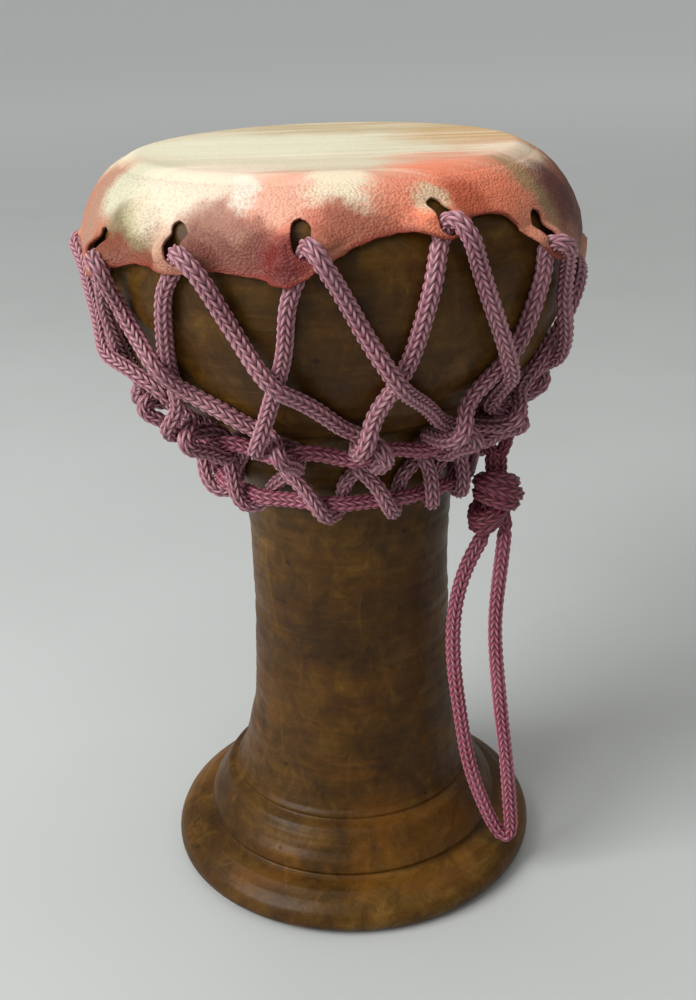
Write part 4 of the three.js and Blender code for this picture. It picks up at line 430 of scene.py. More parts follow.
    4102,-6718,22026,4162,-6675,21840,4224,-6632,21654,4287,-6588,21470,4352,-6544,21286,4417,-6499,21102,4482,
    -6454,20918,4546,-6408,20735,4608,-6360,20552,4667,-6307,20370,4724,-6245,20190,4777,-6172,20013,4828,-6087,
    19841,4877,-5989,19673,4924,-5882,19508,4969,-5768,19346,5002,-5643,19190,4997,-5490,19059,4961,-5330,18942,
    4912,-5177,18823,4854,-5036,18696,4787,-4907,18562,4715,-4790,18422,4644,-4681,18279,4582,-4575,18138,4540,
    -4466,18006,4529,-4350,17890,4562,-4237,17793,4640,-4138,17713,4757,-4066,17647,4900,-4028,17588,5054,-4025,
    17532,5208,-4048,17478,5355,-4086,17428,5485,-4119,17358,5573,-4133,17275,5602,-4113,17182,5569,-4057,17089,
    5487,-3974,17005,5365,-3882,16958,5228,-3781,16911,5090,-3676,16851,4959,-3571,16769,4841,-3471,16662,4736,
    -3379,16533,4634,-3295,16403,4505,-3216,16316,4359,-3148,16290,4211,-3099,16319,4078,-3076,16398,3972,-3084,
    16521,3901,-3128,16673,3865,-3207,16829,3888,-3326,16967,3962,-3474,17062,4070,-3637,17107,4192,-3800,17135,
    4322,-3958,17160,4456,-4108,17186,4594,-4251,17214,4736,-4383,17248,4878,-4500,17289,5018,-4596,17341,5149,
    -4662,17409,5262,-4687,17492,5345,-4662,17587,5395,-4583,17682,5418,-4459,17765,5425,-4303,17832,5425,-4127,
    17880,5425,-3942,17904,5438,-3762,17928,5472,-3596,17966,5528,-3454,18022,5604,-3338,18096,5697,-3246,18186,
    5801,-3173,18294,5913,-3111,18419,6032,-3053,18562,6156,-2992,18723,6283,-2923,18896,6414,-2839,19073,6555,
    -2723,19236,6684,-2599,19395,6803,-2477,19549,6913,-2360,19698,7014,-2248,19843,7109,-2138,19986,7198,-2029,
    20127,7283,-1917,20266,7364,-1800,20402,7439,-1675,20534,7507,-1540,20660,7567,-1395,20776,7620,-1238,20879,
    7665,-1071,20965,7702,-894,21033,7730,-708,21083,7751,-517,21114,7765,-322,21132,7773,-126,21140,7774,68,21146,
    7772,256,21156,7768,433,21180,7766,591,21225,]
UPPER_RING = [
    -3787,-3741,16692,-3663,-3857,16783,-3522,-3964,16858,-3373,-4069,16895,-3212,-4159,16902,-3042,-4232,16886,
    -2867,-4298,16852,-2693,-4366,16807,-2523,-4445,16757,-2360,-4539,16708,-2203,-4650,16668,-2051,-4774,16641,
    -1904,-4905,16631,-1757,-5030,16645,-1600,-5117,16710,-1439,-5158,16800,-1266,-5188,16860,-1085,-5203,16888,
    -902,-5198,16887,-719,-5180,16863,-534,-5161,16823,-349,-5151,16773,-163,-5159,16723,24,-5187,16679,212,-5232,
    16649,400,-5288,16636,585,-5341,16648,762,-5358,16710,923,-5323,16798,1092,-5271,16858,1259,-5203,16884,1421,
    -5117,16880,1578,-5022,16853,1737,-4929,16810,1902,-4847,16759,2076,-4784,16709,2260,-4739,16667,2451,-4709,
    16641,2644,-4687,16637,2829,-4655,16671,2980,-4586,16751,3095,-4474,16829,3202,-4342,16861,3302,-4199,16854,
    3403,-4058,16818,3516,-3928,16765,3649,-3816,16706,3802,-3722,16656,3970,-3637,16628,4133,-3539,16640,4260,
    -3406,16695,4342,-3238,16747,4421,-3058,16749,4508,-2882,16722,4605,-2714,16680,4709,-2552,16629,4814,-2391,
    16573,4909,-2224,16523,4974,-2034,16500,5028,-1843,16513,5080,-1651,16535,5138,-1462,16558,5206,-1276,16580,
    5287,-1095,16602,5370,-917,16634,5429,-741,16700,5443,-565,16789,5450,-380,16858,5456,-192,16897,5447,-3,16917,
    5418,184,16921,5370,368,16910,5308,549,16887,5241,729,16853,5175,909,16813,5115,1092,16770,5062,1278,16727,
    5018,1467,16689,4980,1660,16658,4947,1856,16637,4919,2054,16627,4894,2253,16628,4865,2447,16646,4812,2625,
    16702,4718,2765,16792,4608,2905,16859,4487,3041,16892,4350,3164,16895,4203,3276,16874,4053,3385,16836,3907,
    3500,16787,3771,3627,16736,3647,3769,16689,3534,3925,16653,3430,4090,16634,3328,4257,16636,3211,4404,16679,
    3069,4501,16767,2911,4579,16845,2745,4653,16886,2570,4709,16898,2389,4749,16886,2205,4780,16854,2022,4813,
    16810,1840,4857,16760,1662,4919,16711,1488,4998,16671,1316,5091,16644,1148,5194,16634,980,5291,16648,809,5350,
    16711,641,5361,16800,462,5361,16860,279,5344,16890,98,5307,16894,-80,5255,16875,-258,5198,16838,-438,5146,
    16791,-621,5109,16741,-809,5089,16694,-1002,5087,16656,-1199,5097,16632,-1398,5113,16628,-1591,5114,16657,
    -1762,5068,16737,-1915,4993,16827,-2072,4908,16876,-2222,4806,16896,-2362,4686,16890,-2494,4556,16864,-2627,
    4425,16823,-2766,4301,16774,-2916,4189,16724,-3078,4090,16679,-3252,4004,16647,-3432,3926,16630,-3612,3851,
    16636,-3773,3758,16683,-3888,3632,16773,-3992,3489,16850,-4091,3336,16889,-4174,3171,16899,-4241,2998,16884,
    -4299,2821,16852,-4360,2645,16807,-4433,2473,16757,-4521,2306,16708,-4627,2146,16667,-4746,1991,16640,-4873,
    1840,16631,-4993,1689,16650,-5071,1529,16721,-5106,1365,16811,-5135,1188,16870,-5151,1006,16898,-5146,821,
    16899,-5124,636,16878,-5095,452,16841,-5070,266,16794,-5059,79,16744,-5064,-110,16696,-5086,-301,16658,-5122,
    -495,16633,-5165,-688,16626,-5199,-880,16650,-5189,-1059,16727,-5146,-1226,16816,-5097,-1405,16872,-5034,-1581,
    16903,-4951,-1750,16914,-4848,-1909,16906,-4734,-2061,16883,-4614,-2211,16848,-4496,-2361,16805,-4386,-2518,
    16760,-4284,-2681,16716,-4192,-2852,16678,-4107,-3029,16649,-4029,-3212,16631,-3955,-3397,16627,-3880,-3579,
    16641,]
LOWER = [
    -3158,-3083,16658,-3261,-3034,16622,-3356,-3015,16536,-3421,-3040,16415,-3461,-3097,16274,-3470,-3170,16123,
    -3443,-3241,15962,-3396,-3302,15796,-3355,-3354,15626,-3332,-3399,15452,-3323,-3438,15277,-3312,-3468,15103,
    -3276,-3488,14932,-3208,-3493,14771,-3107,-3483,14629,-2972,-3452,14524,-2814,-3401,14472,-2652,-3343,14471,
    -2501,-3292,14528,-2373,-3260,14634,-2272,-3255,14771,-2203,-3293,14924,-2153,-3377,15075,-2087,-3483,15214,
    -1997,-3593,15339,-1889,-3701,15457,-1772,-3807,15573,-1652,-3908,15692,-1532,-3999,15815,-1413,-4073,15947,
    -1307,-4137,16086,-1230,-4190,16230,-1188,-4224,16374,-1193,-4239,16508,-1248,-4237,16615,-1343,-4221,16680,
    -1459,-4198,16694,-1576,-4181,16659,-1676,-4185,16582,-1742,-4219,16478,-1762,-4282,16359,-1731,-4360,16235,
    -1658,-4441,16109,-1553,-4513,15984,-1423,-4561,15858,-1289,-4602,15728,-1160,-4645,15591,-1044,-4696,15448,
    -940,-4749,15298,-846,-4794,15142,-757,-4815,14983,-667,-4803,14825,-576,-4753,14679,-480,-4663,14558,-379,
    -4542,14480,-277,-4405,14463,-182,-4270,14505,-98,-4153,14592,-28,-4074,14716,23,-4042,14864,54,-4067,15022,71,
    -4124,15179,84,-4177,15331,118,-4226,15475,191,-4269,15609,298,-4303,15736,427,-4326,15859,562,-4337,15984,688,
    -4341,16114,785,-4350,16250,837,-4357,16386,813,-4374,16514,735,-4406,16604,632,-4445,16640,531,-4495,16614,
    460,-4568,16539,449,-4647,16427,490,-4722,16299,574,-4781,16167,689,-4795,16029,815,-4779,15889,938,-4757,
    15744,1052,-4743,15593,1154,-4743,15435,1243,-4752,15272,1321,-4753,15106,1390,-4731,14941,1451,-4674,14783,
    1505,-4582,14641,1549,-4450,14533,1587,-4292,14470,1620,-4124,14469,1648,-3966,14526,1675,-3833,14627,1706,
    -3746,14762,1740,-3713,14915,1780,-3745,15071,1807,-3792,15224,1833,-3833,15369,1884,-3858,15507,1972,-3860,
    15633,2089,-3838,15752,2224,-3795,15866,2363,-3735,15982,2495,-3673,16105,2597,-3630,16242,2651,-3609,16381,
    2625,-3642,16514,2560,-3714,16603,2490,-3798,16632,2437,-3882,16597,2412,-3971,16507,2444,-4046,16380,2517,
    -4104,16242,2602,-4118,16087,2674,-4097,15922,2726,-4074,15750,2760,-4068,15576,2777,-4085,15403,2787,-4111,
    15233,2794,-4125,15064,2805,-4105,14899,2818,-4043,14744,2824,-3937,14611,2819,-3796,14514,2803,-3633,14467,
    2781,-3464,14480,2760,-3308,14544,2751,-3182,14654,2760,-3098,14796,2793,-3066,14956,2851,-3084,15118,2905,
    -3108,15275,2964,-3119,15424,3044,-3103,15563,3145,-3056,15690,3257,-2984,15809,3368,-2892,15928,3472,-2795,
    16050,3559,-2719,16183,3618,-2668,16318,3624,-2679,16458,3588,-2745,16566,3534,-2837,16619,3485,-2938,16607,
    3473,-3041,16538,3512,-3124,16423,3587,-3177,16286,3670,-3198,16135,3733,-3177,15967,3778,-3152,15793,3807,
    -3143,15617,3826,-3158,15442,3840,-3188,15271,3850,-3211,15103,3854,-3203,14936,3851,-3154,14778,3834,-3064,
    14638,3794,-2935,14534,3735,-2785,14476,3669,-2628,14470,3608,-2478,14523,3563,-2347,14620,3549,-2242,14749,
    3574,-2162,14894,3645,-2092,15033,3739,-2005,15152,3837,-1886,15246,3933,-1745,15321,4022,-1589,15390,4105,
    -1427,15460,4183,-1266,15539,4257,-1111,15633,4324,-962,15741,4382,-818,15860,4424,-680,15988,4457,-557,16120,
    4487,-471,16259,4502,-426,16396,4510,-448,16523,4515,-526,16616,4519,-634,16657,4535,-749,16641,4579,-844,
    16577,4647,-889,16476,4730,-881,16358,4815,-824,16237,4879,-722,16114,4906,-582,15997,4918,-427,15880,4926,
    -272,15761,4938,-121,15636,4959,22,15505,4989,153,15367,5020,273,15223,5036,380,15072,5025,474,14916,4979,556,
    14762,4892,629,14624,4766,693,14519,4612,754,14467,4449,812,14475,4296,867,14535,4172,923,14643,4092,983,14786,
    4062,1056,14946,4080,1152,15106,4096,1267,15258,4098,1397,15401,4088,1537,15536,4068,1684,15664,4036,1832,
    15788,3993,1973,15913,3944,2100,16041,3906,2208,16179,3880,2283,16318,3878,2308,16455,3914,2276,16571,3977,
    2207,16644,4055,2124,16661,4143,2054,16621,4231,2023,16536,4300,2048,16422,4350,2117,16295,4370,2217,16163,
    4345,2328,16026,4288,2437,15885,4225,2544,15740,4171,2647,15589,4134,2746,15433,4109,2837,15271,4082,2914,
    15106,4037,2971,14940,3966,3007,14779,3864,3020,14635,3726,3011,14527,3564,2981,14472,3395,2943,14471,3237,
    2909,14527,3105,2888,14633,3007,2885,14769,2957,2912,14924,2958,2972,15085,2971,3033,15242,2975,3095,15393,
    2955,3171,15534,2904,3265,15664,2829,3368,15786,2736,3470,15906,2639,3563,16031,2555,3645,16166,2499,3704,
    16305,2481,3730,16442,2524,3720,16561,2606,3687,16638,2711,3647,16661,2822,3620,16627,2918,3626,16546,2973,
    3674,16434,2990,3754,16308,2968,3852,16177,2899,3942,16041,2799,4016,15902,2693,4083,15759,2594,4152,15610,
    2511,4223,15456,2444,4294,15296,2383,4352,15132,2317,4387,14966,2239,4390,14806,2143,4358,14660,2029,4289,
    14545,1901,4194,14475,1766,4089,14465,1637,3989,14516,1523,3907,14613,1431,3861,14745,1368,3859,14900,1333,
    3907,15062,1308,3972,15221,1277,4035,15376,1220,4098,15521,1131,4162,15653,1016,4223,15777,887,4276,15898,756,
    4317,16023,640,4354,16156,560,4385,16295,527,4403,16431,565,4414,16552,650,4422,16633,761,4433,16660,873,4457,
    16630,960,4504,16553,991,4569,16442,975,4647,16317,915,4722,16185,815,4772,16049,693,4792,15911,567,4802,15768,
    448,4816,15619,341,4839,15464,249,4870,15304,168,4893,15139,93,4894,14972,22,4862,14810,-48,4792,14662,-121,
    4682,14546,-193,4538,14480,-263,4381,14467,-331,4232,14512,-396,4110,14609,-457,4024,14739,-514,3990,14890,
    -568,4014,15050,-620,4064,15210,-675,4109,15365,-753,4143,15511,-860,4163,15645,-989,4167,15769,-1128,4159,
    15891,-1265,4139,16016,-1387,4121,16149,-1475,4113,16287,-1517,4114,16422,-1494,4142,16544,-1425,4189,16628,
    -1333,4248,16659,-1243,4319,16633,-1182,4398,16559,-1178,4469,16449,-1224,4531,16323,-1308,4571,16190,-1418,
    4572,16054,-1535,4533,15917,-1653,4483,15775,-1765,4437,15628,-1871,4406,15474,-1967,4388,15314,-2050,4370,
    15149,-2116,4336,14983,-2164,4273,14820,-2194,4180,14669,-2208,4053,14546,-2210,3896,14475,-2204,3724,14464,
    -2198,3560,14508,-2199,3418,14600,-2216,3315,14730,-2249,3256,14880,-2305,3251,15040,-2375,3273,15198,-2445,
    3291,15354,-2530,3290,15501,-2634,3263,15635,-2751,3212,15760,-2872,3144,15882,-2986,3066,16007,-3088,2995,
    16139,-3166,2949,16277,-3207,2930,16412,-3202,2962,16537,-3163,3034,16625,-3108,3128,16660,-3059,3232,16637,
    -3039,3331,16565,-3065,3398,16456,-3130,3433,16330,-3222,3432,16197,-3319,3383,16061,-3406,3295,15925,-3487,
    3194,15785,-3567,3100,15638,-3647,3020,15485,-3725,2957,15326,-3792,2901,15162,-3838,2840,14997,-3856,2762,
    14834,-3843,2665,14684,-3797,2544,14562,-3726,2405,14483,-3643,2256,14461,-3564,2111,14501,-3499,1984,14590,
    -3461,1881,14715,-3462,1813,14863,-3507,1782,15023,-3580,1772,15183,-3652,1760,15340,-3726,1727,15488,-3807,
    1660,15624,-3890,1565,15750,-3968,1451,15873,-4036,1331,15999,-4095,1221,16130,-4146,1145,16268,-4176,1108,
    16404,-4187,1135,16530,-4186,1215,16621,-4181,1324,16659,-4183,1438,16639,-4207,1537,16570,-4259,1588,16463,
    -4331,1591,16338,-4412,1549,16206,-4479,1463,16071,-4516,1343,15937,-4542,1213,15799,-4569,1087,15656,-4602,
    975,15506,-4643,878,15349,-4679,792,15187,-4696,713,15022,-4682,634,14859,-4633,551,14706,-4547,464,14576,
    -4423,371,14494,-4280,277,14463,-4140,185,14490,-4021,100,14574,-3934,24,14695,-3894,-40,14843,-3910,-92,15004,
    -3971,-135,15166,-4031,-177,15322,-4083,-239,15471,-4125,-332,15609,-4157,-451,15737,-4176,-586,15861,-4182,
    -723,15987,-4184,-847,16118,-4193,-940,16256,-4203,-991,16393,-4224,-978,16522,-4258,-908,16615,-4299,-808,
    16658,-4352,-705,16643,-4420,-628,16578,-4493,-604,16474,-4560,-638,16354,-4615,-718,16229,-4640,-833,16104,
    -4614,-966,15981,-4570,-1107,15856,-4523,-1247,15728,-4485,-1383,15595,-4459,-1513,15454,-4444,-1633,15307,
    -4427,-1740,15154,-4394,-1829,14997,-4334,-1899,14839,-4244,-1949,14690,-4121,-1984,14565,-3965,-2002,14488,
    -3794,-2011,14465,-3626,-2019,14497,-3481,-2032,14585,-3369,-2055,14710,-3304,-2098,14861,-3291,-2171,15025,
    -3302,-2270,15189,-3300,-2379,15347,-3280,-2499,15497,-3242,-2628,15635,-3188,-2760,15766,-3122,-2889,15895,
    -3051,-3003,16027,-2994,-3101,16164,-2955,-3173,16303,-2947,-3206,16440,-2988,-3190,16558,-3063,-3143,16636,]
NECK_RING = [
    -2810,-3280,14921,-2693,-3441,14922,-2561,-3589,14908,-2403,-3710,14893,-2216,-3787,14889,-2020,-3835,14896,
    -1823,-3882,14901,-1630,-3935,14899,-1441,-3997,14892,-1256,-4066,14882,-1073,-4141,14876,-890,-4216,14877,
    -706,-4288,14888,-518,-4355,14907,-328,-4421,14924,-135,-4478,14919,62,-4502,14906,257,-4462,14901,446,-4396,
    14899,634,-4336,14895,824,-4291,14890,1015,-4262,14889,1208,-4241,14897,1402,-4222,14913,1598,-4205,14925,1791,
    -4176,14916,1973,-4111,14900,2126,-3992,14895,2275,-3869,14895,2431,-3763,14902,2596,-3673,14916,2769,-3593,
    14927,2942,-3509,14921,3099,-3399,14905,3218,-3248,14897,3325,-3090,14898,3442,-2944,14906,3573,-2808,14921,
    3718,-2681,14927,3857,-2544,14919,3977,-2388,14904,4065,-2209,14895,4122,-2016,14897,4160,-1819,14908,4197,
    -1622,14916,4235,-1426,14919,4274,-1231,14916,4314,-1036,14908,4353,-841,14896,4391,-646,14883,4429,-451,14871,
    4464,-256,14863,4495,-61,14860,4519,135,14866,4533,331,14882,4538,529,14905,4543,730,14924,4542,932,14923,4515,
    1130,14910,4445,1317,14898,4330,1484,14900,4208,1646,14902,4093,1810,14899,3988,1979,14891,3894,2153,14883,
    3807,2330,14879,3721,2507,14884,3632,2684,14899,3537,2858,14920,3439,3032,14924,3323,3193,14913,3173,3322,
    14901,2991,3406,14901,2806,3484,14900,2627,3570,14895,2457,3669,14889,2294,3778,14888,2135,3893,14897,1975,
    4009,14913,1813,4128,14924,1644,4236,14916,1462,4311,14902,1262,4327,14896,1062,4314,14897,863,4303,14895,666,
    4305,14890,471,4322,14887,277,4350,14889,84,4382,14902,-112,4412,14920,-310,4443,14924,-509,4452,14913,-704,
    4416,14901,-882,4322,14900,-1054,4218,14900,-1229,4122,14895,-1409,4040,14889,-1592,3972,14886,-1779,3911,
    14891,-1967,3851,14906,-2157,3788,14922,-2345,3721,14918,-2520,3629,14905,-2661,3489,14897,-2770,3320,14898,
    -2876,3149,14897,-2991,2988,14893,-3116,2836,14888,-3250,2694,14889,-3388,2554,14898,-3527,2414,14915,-3671,
    2273,14923,-3804,2123,14914,-3905,1952,14901,-3948,1756,14898,-3966,1556,14899,-3986,1357,14897,-4019,1163,
    14892,-4066,973,14888,-4123,787,14890,-4184,600,14902,-4243,411,14919,-4305,221,14922,-4347,27,14910,-4342,
    -170,14898,-4278,-361,14901,-4200,-549,14904,-4126,-737,14902,-4064,-926,14895,-4012,-1117,14887,-3970,-1309,
    14882,-3931,-1502,14886,-3890,-1694,14901,-3843,-1887,14920,-3796,-2081,14924,-3730,-2268,14911,-3625,-2437,
    14894,-3476,-2572,14887,-3320,-2697,14886,-3176,-2829,14886,-3048,-2972,14891,-2928,-3124,14904,]
TIE = [
    5161,-2487,15717,5227,-2440,15850,5282,-2397,16013,5327,-2359,16193,5358,-2322,16379,5362,-2285,16565,5317,
    -2240,16735,5215,-2184,16868,5070,-2121,16946,4902,-2059,16957,4737,-2011,16897,4600,-1989,16774,4513,-2006,
    16608,4491,-2067,16427,4534,-2164,16260,4601,-2275,16113,4664,-2384,15977,4718,-2479,15851,4787,-2546,15735,
    4870,-2576,15648,4967,-2569,15610,5069,-2534,15634,]
LOOP = [
    4569,-2708,12929,4334,-2746,12502,4100,-2781,12073,3917,-2816,11620,3773,-2851,11154,3662,-2885,10678,3587,
    -2920,10195,3546,-2954,9708,3533,-2987,9220,3541,-3020,8732,3567,-3053,8244,3608,-3086,7757,3661,-3118,7271,
    3721,-3149,6786,3784,-3181,6301,3849,-3212,5817,3917,-3243,5333,3998,-3273,4851,4101,-3304,4373,4228,-3333,
    3901,4373,-3363,3434,4533,-3391,2972,4706,-3419,2515,4902,-3447,2067,5141,-3479,1641,5473,-3492,1446,5553,
    -3456,1916,5506,-3426,2403,5476,-3396,2891,5445,-3366,3378,5409,-3335,3866,5369,-3305,4353,5324,-3274,4840,
    5273,-3243,5326,5219,-3212,5812,5166,-3181,6298,5119,-3149,6784,5076,-3117,7271,5036,-3085,7758,4997,-3053,
    8245,4962,-3020,8733,4938,-2987,9221,4936,-2953,9709,4956,-2919,10197,4995,-2884,10684,5044,-2849,11170,5100,
    -2813,11656,5158,-2777,12141,5210,-2739,12626,5249,-2700,13113,]


def route(flat):
    return np.array(flat, float).reshape(-1, 3) * 1e-5


# ---------------------------------------------------------------- shared shape data (mm)
SHELL = np.array([(0,61.5),(0.9,64.0),(2.9,65.6),(5.4,65.6),(8,64.3),(10.5,61.5),(12.6,57.5),(13.6,53.6),(14.2,52.9),(16.0,52.7),(19,51.8),(23,49.2),(26.5,46.4),(29.0,44.4),(30.2,43.0),(33,41.0),(37,39.6),(44,38.4),(56,36.4),(70,35.2),(84,34.4),(98,33.9),(112,33.8),(125,34.2),(134,34.9),(140,35.5),(146,36.8),(150,38.0),(154,39.4),(157.2,40.4),(158.0,40.1),(158.8,40.9),(163,41.6),(168.5,42.2),(170.4,43.4),(171.6,46.0),(172.4,49.6),(174.5,53.2),(178,56.9),(182,61.6),(188,65.4),(194,68.4),(200,70.9),(206,73.2),(212,74.9),(218,76.0),(224,76.4),(229,75.7),(234,73.9),(238,71.8),(242,68.9),(245,65.8),(247.4,62.0),(248.6,58.8),(249.0,55.5)])
SHELL_INNER = np.array([(248.4,53.6),(246.4,53.0),(238,62.2),(222,69.9),(206,66.6),(190,59.0),(178,47.8),(169,37.6),(146,30.0),(110,27.1),(50,30.2),(34,33.2),(20,42.6),(4,54.0),(0,55.2)])
DRIFT = np.array([(0,0),(30,0),(60,2.2),(130,2.2),(165,1.0),(185,.7),(205,.7),(222,0),(246,-1.0),(252,-1.0)])
HOLES = np.array([(-101.00, 221.5), (-54.64, 225.8), (-30.75, 229.6), (-4.44, 232.0), (23.67, 235.4), (48.28, 226.4), (97.00, 215.5), (121.00, 227.0), (143.00, 230.5), (165.00, 234.0), (187.50, 231.5), (210.50, 233.5), (234.00, 228.0)])
EDGE = np.array([(-110, 220.30), (-107, 216.91), (-104, 215.05), (-101, 215.33), (-98, 216.46), (-95, 218.13), (-92, 220.08), (-89, 222.06), (-86, 223.80), (-83, 225.03), (-80, 225.50), (-77, 225.23), (-74, 224.55), (-71, 223.68), (-68, 222.82), (-65, 222.19), (-62, 222.00), (-59, 222.10), (-56, 222.43), (-53, 223.49), (-50, 225.17), (-47, 225.92), (-44, 226.80), (-41, 227.09), (-38, 227.05), (-35, 226.55), (-32, 226.31), (-29, 226.50), (-26, 227.25), (-23, 227.24), (-20, 226.94), (-17, 226.83), (-14, 226.30), (-11, 225.09), (-8, 224.50), (-5, 226.16), (-2, 228.56), (1, 230.23), (4, 232.81), (7, 234.21), (10, 235.06), (13, 235.66), (16, 235.90), (19, 234.44), (22, 232.73), (25, 232.88), (28, 235.60), (31, 237.45), (34, 237.68), (37, 237.51), (40, 236.85), (43, 234.27), (46, 226.80), (49, 223.75), (52, 223.90), (55, 224.92), (58, 225.80), (61, 225.48), (64, 224.64), (67, 221.81), (70, 219.47), (73, 217.91), (76, 216.58), (79, 215.16), (82, 213.51), (85, 211.88), (88, 210.57), (91, 209.85), (94, 210.70), (97, 214.52), (100, 219.62), (103, 224.09), (106, 226.00), (109, 225.20), (112, 223.41), (115, 221.55), (118, 220.53), (121, 221.47), (124, 224.24), (127, 227.15), (130, 228.50), (133, 227.59), (136, 225.66), (139, 223.94), (142, 223.60), (145, 224.85), (148, 226.65), (151, 227.90), (154, 227.83), (157, 227.14), (160, 226.37), (163, 226.00), (166, 226.64), (169, 227.99), (172, 229.19), (175, 229.38), (178, 227.97), (181, 225.87), (184, 224.26), (187, 224.19), (190, 225.36), (193, 226.88), (196, 227.91), (199, 227.84), (202, 227.19), (205, 226.44), (208, 226.01), (211, 226.30), (214, 227.17), (217, 228.08), (220, 228.50), (223, 227.24), (226, 224.51), (229, 221.91), (232, 221.02), (235, 221.77), (238, 223.12), (241, 224.42), (244, 225.00), (247, 223.55), (250, 220.30)])


def drift(z):
    return np.interp(z, DRIFT[:, 0], DRIFT[:, 1])


def shell_r(z):
    return np.interp(z, SHELL[:, 0], SHELL[:, 1])


def smooth(t):
    t = np.clip(t, 0, 1)
    return t * t * (3 - 2 * t)


def wrap(a):
    return (a + 180) % 360 - 180


# ---------------------------------------------------------------- mesh helpers
def make_mesh(name, verts, faces, smooth_shade=True):
    """verts in metres; faces a list of equal-length index rows or a mixed list."""
    me = bpy.data.meshes.new(name)
    verts = np.asarray(verts, float)
    me.from_pydata([], [], [])
    groups = faces if isinstance(faces, list) and faces and isinstance(faces[0], np.ndarray) else [np.array(faces)]
    flat = np.concatenate([g.ravel() for g in groups]).astype(np.int32)
    sizes = np.concatenate([np.full(len(g), g.shape[1]) for g in groups]).astype(np.int32)
    starts = np.concatenate([[0], np.cumsum(sizes)[:-1]]).astype(np.int32)
    me.vertices.add(len(verts))
    me.vertices.foreach_set("co", verts.astype(np.float32).ravel())
    me.loops.add(len(flat))
    me.loops.foreach_set("vertex_index", flat)
    me.polygons.add(len(sizes))
    me.polygons.foreach_set("loop_start", starts)
    me.polygons.foreach_set("loop_total", sizes)
    me.update(calc_edges=True)
    me.validate()
    me.polygons.foreach_set("use_smooth", np.full(len(me.polygons), smooth_shade))
    ob = bpy.data.objects.new(name, me)
    bpy.context.scene.collection.objects.link(ob)
    return ob


def point_attribute(ob, name, values):
    at = ob.data.attributes.new(name, 'FLOAT', 'POINT')
    at.data.foreach_set("value", np.asarray(values, np.float32))


def rows_faces(n, m, close_n=False, close_m=True):
    """Quads over an n by m grid of vertices, row-major."""
    i = np.arange(n if close_n else n - 1)[:, None]
    j = np.arange(m if close_m else m - 1)[None, :]
    a = i * m + j
    b = i * m + (j + 1) % m
    c = ((i + 1) % n) * m + (j + 1) % m
    d = ((i + 1) % n) * m + j
    return np.stack([a, d, c, b], -1).reshape(-1, 4)


# ---------------------------------------------------------------- knitted cord
def resample(P, closed, step, smoothing=2):
    """Evenly spaced points along a soft curve through P."""
    P = np.asarray(P, float)
    if closed:
        Q = P.copy()
        for _ in range(smoothing):
            Q = 0.5 * Q + 0.25 * (np.roll(Q, 1, 0) + np.roll(Q, -1, 0))
        Q = np.vstack([Q[-2:], Q, Q[:3]])
        lo, hi = 2, 2 + len(P)
    else:
        Q = P.copy()
        for _ in range(smoothing):
            Q[1:-1] = 0.5 * Q[1:-1] + 0.25 * (Q[:-2] + Q[2:])
        Q = np.vstack([2 * Q[0] - Q[1], Q, 2 * Q[-1] - Q[-2]])
        lo, hi = 1, len(P)
    out = []
    for i in range(lo, hi):
        p0, p1, p2, p3 = Q[i - 1], Q[i], Q[i + 1], Q[i + 2] if i + 2 < len(Q) else Q[i + 1]
        t = np.linspace(0, 1, 9)[:-1][:, None]
        out.append(0.5 * ((2 * p1) + (-p0 + p2) * t + (2 * p0 - 5 * p1 + 4 * p2 - p3) * t ** 2
                          + (-p0 + 3 * p1 - 3 * p2 + p3) * t ** 3))
    F = np.vstack(out + [Q[hi:hi + 1]])
    s = np.r_[0, np.cumsum(np.linalg.norm(np.diff(F, axis=0), axis=1))]
    n = max(4, int(round(s[-1] / step)))
    ss = np.linspace(0, s[-1], n + 1)
    R = np.stack([np.interp(ss, s, F[:, k]) for k in range(3)], -1)
    return (R[:-1] if closed else R), s[-1]


def frames_along(P, closed, up=None):
    n = len(P)
    if closed:
        T = np.roll(P, -1, 0) - np.roll(P, 1, 0)
    else:
        T = np.gradient(P, axis=0)
    T /= np.linalg.norm(T, axis=1)[:, None]
    ref = np.array([0, 0, 1.0]) if up is None else np.asarray(up, float)
    if abs(T[0] @ ref) > 0.9:
        ref = np.array([1.0, 0, 0])
    N = np.empty_like(P)
    v = ref - (ref @ T[0]) * T[0]
    N[0] = v / np.linalg.norm(v)
    for i in range(1, n):
        v = N[i - 1] - (N[i - 1] @ T[i]) * T[i]
        N[i] = v / np.linalg.norm(v)
    if closed:
        v = N[-1] - (N[-1] @ T[0]) * T[0]
        v /= np.linalg.norm(v)
        B0 = np.cross(T[0], N[0])
        ang = math.atan2(v @ B0, v @ N[0])
        a = -ang * np.arange(n) / n
        B = np.cross(T, N)
        N = N * np.cos(a)[:, None] + B * np.sin(a)[:, None]
    return T, N, np.cross(T, N)


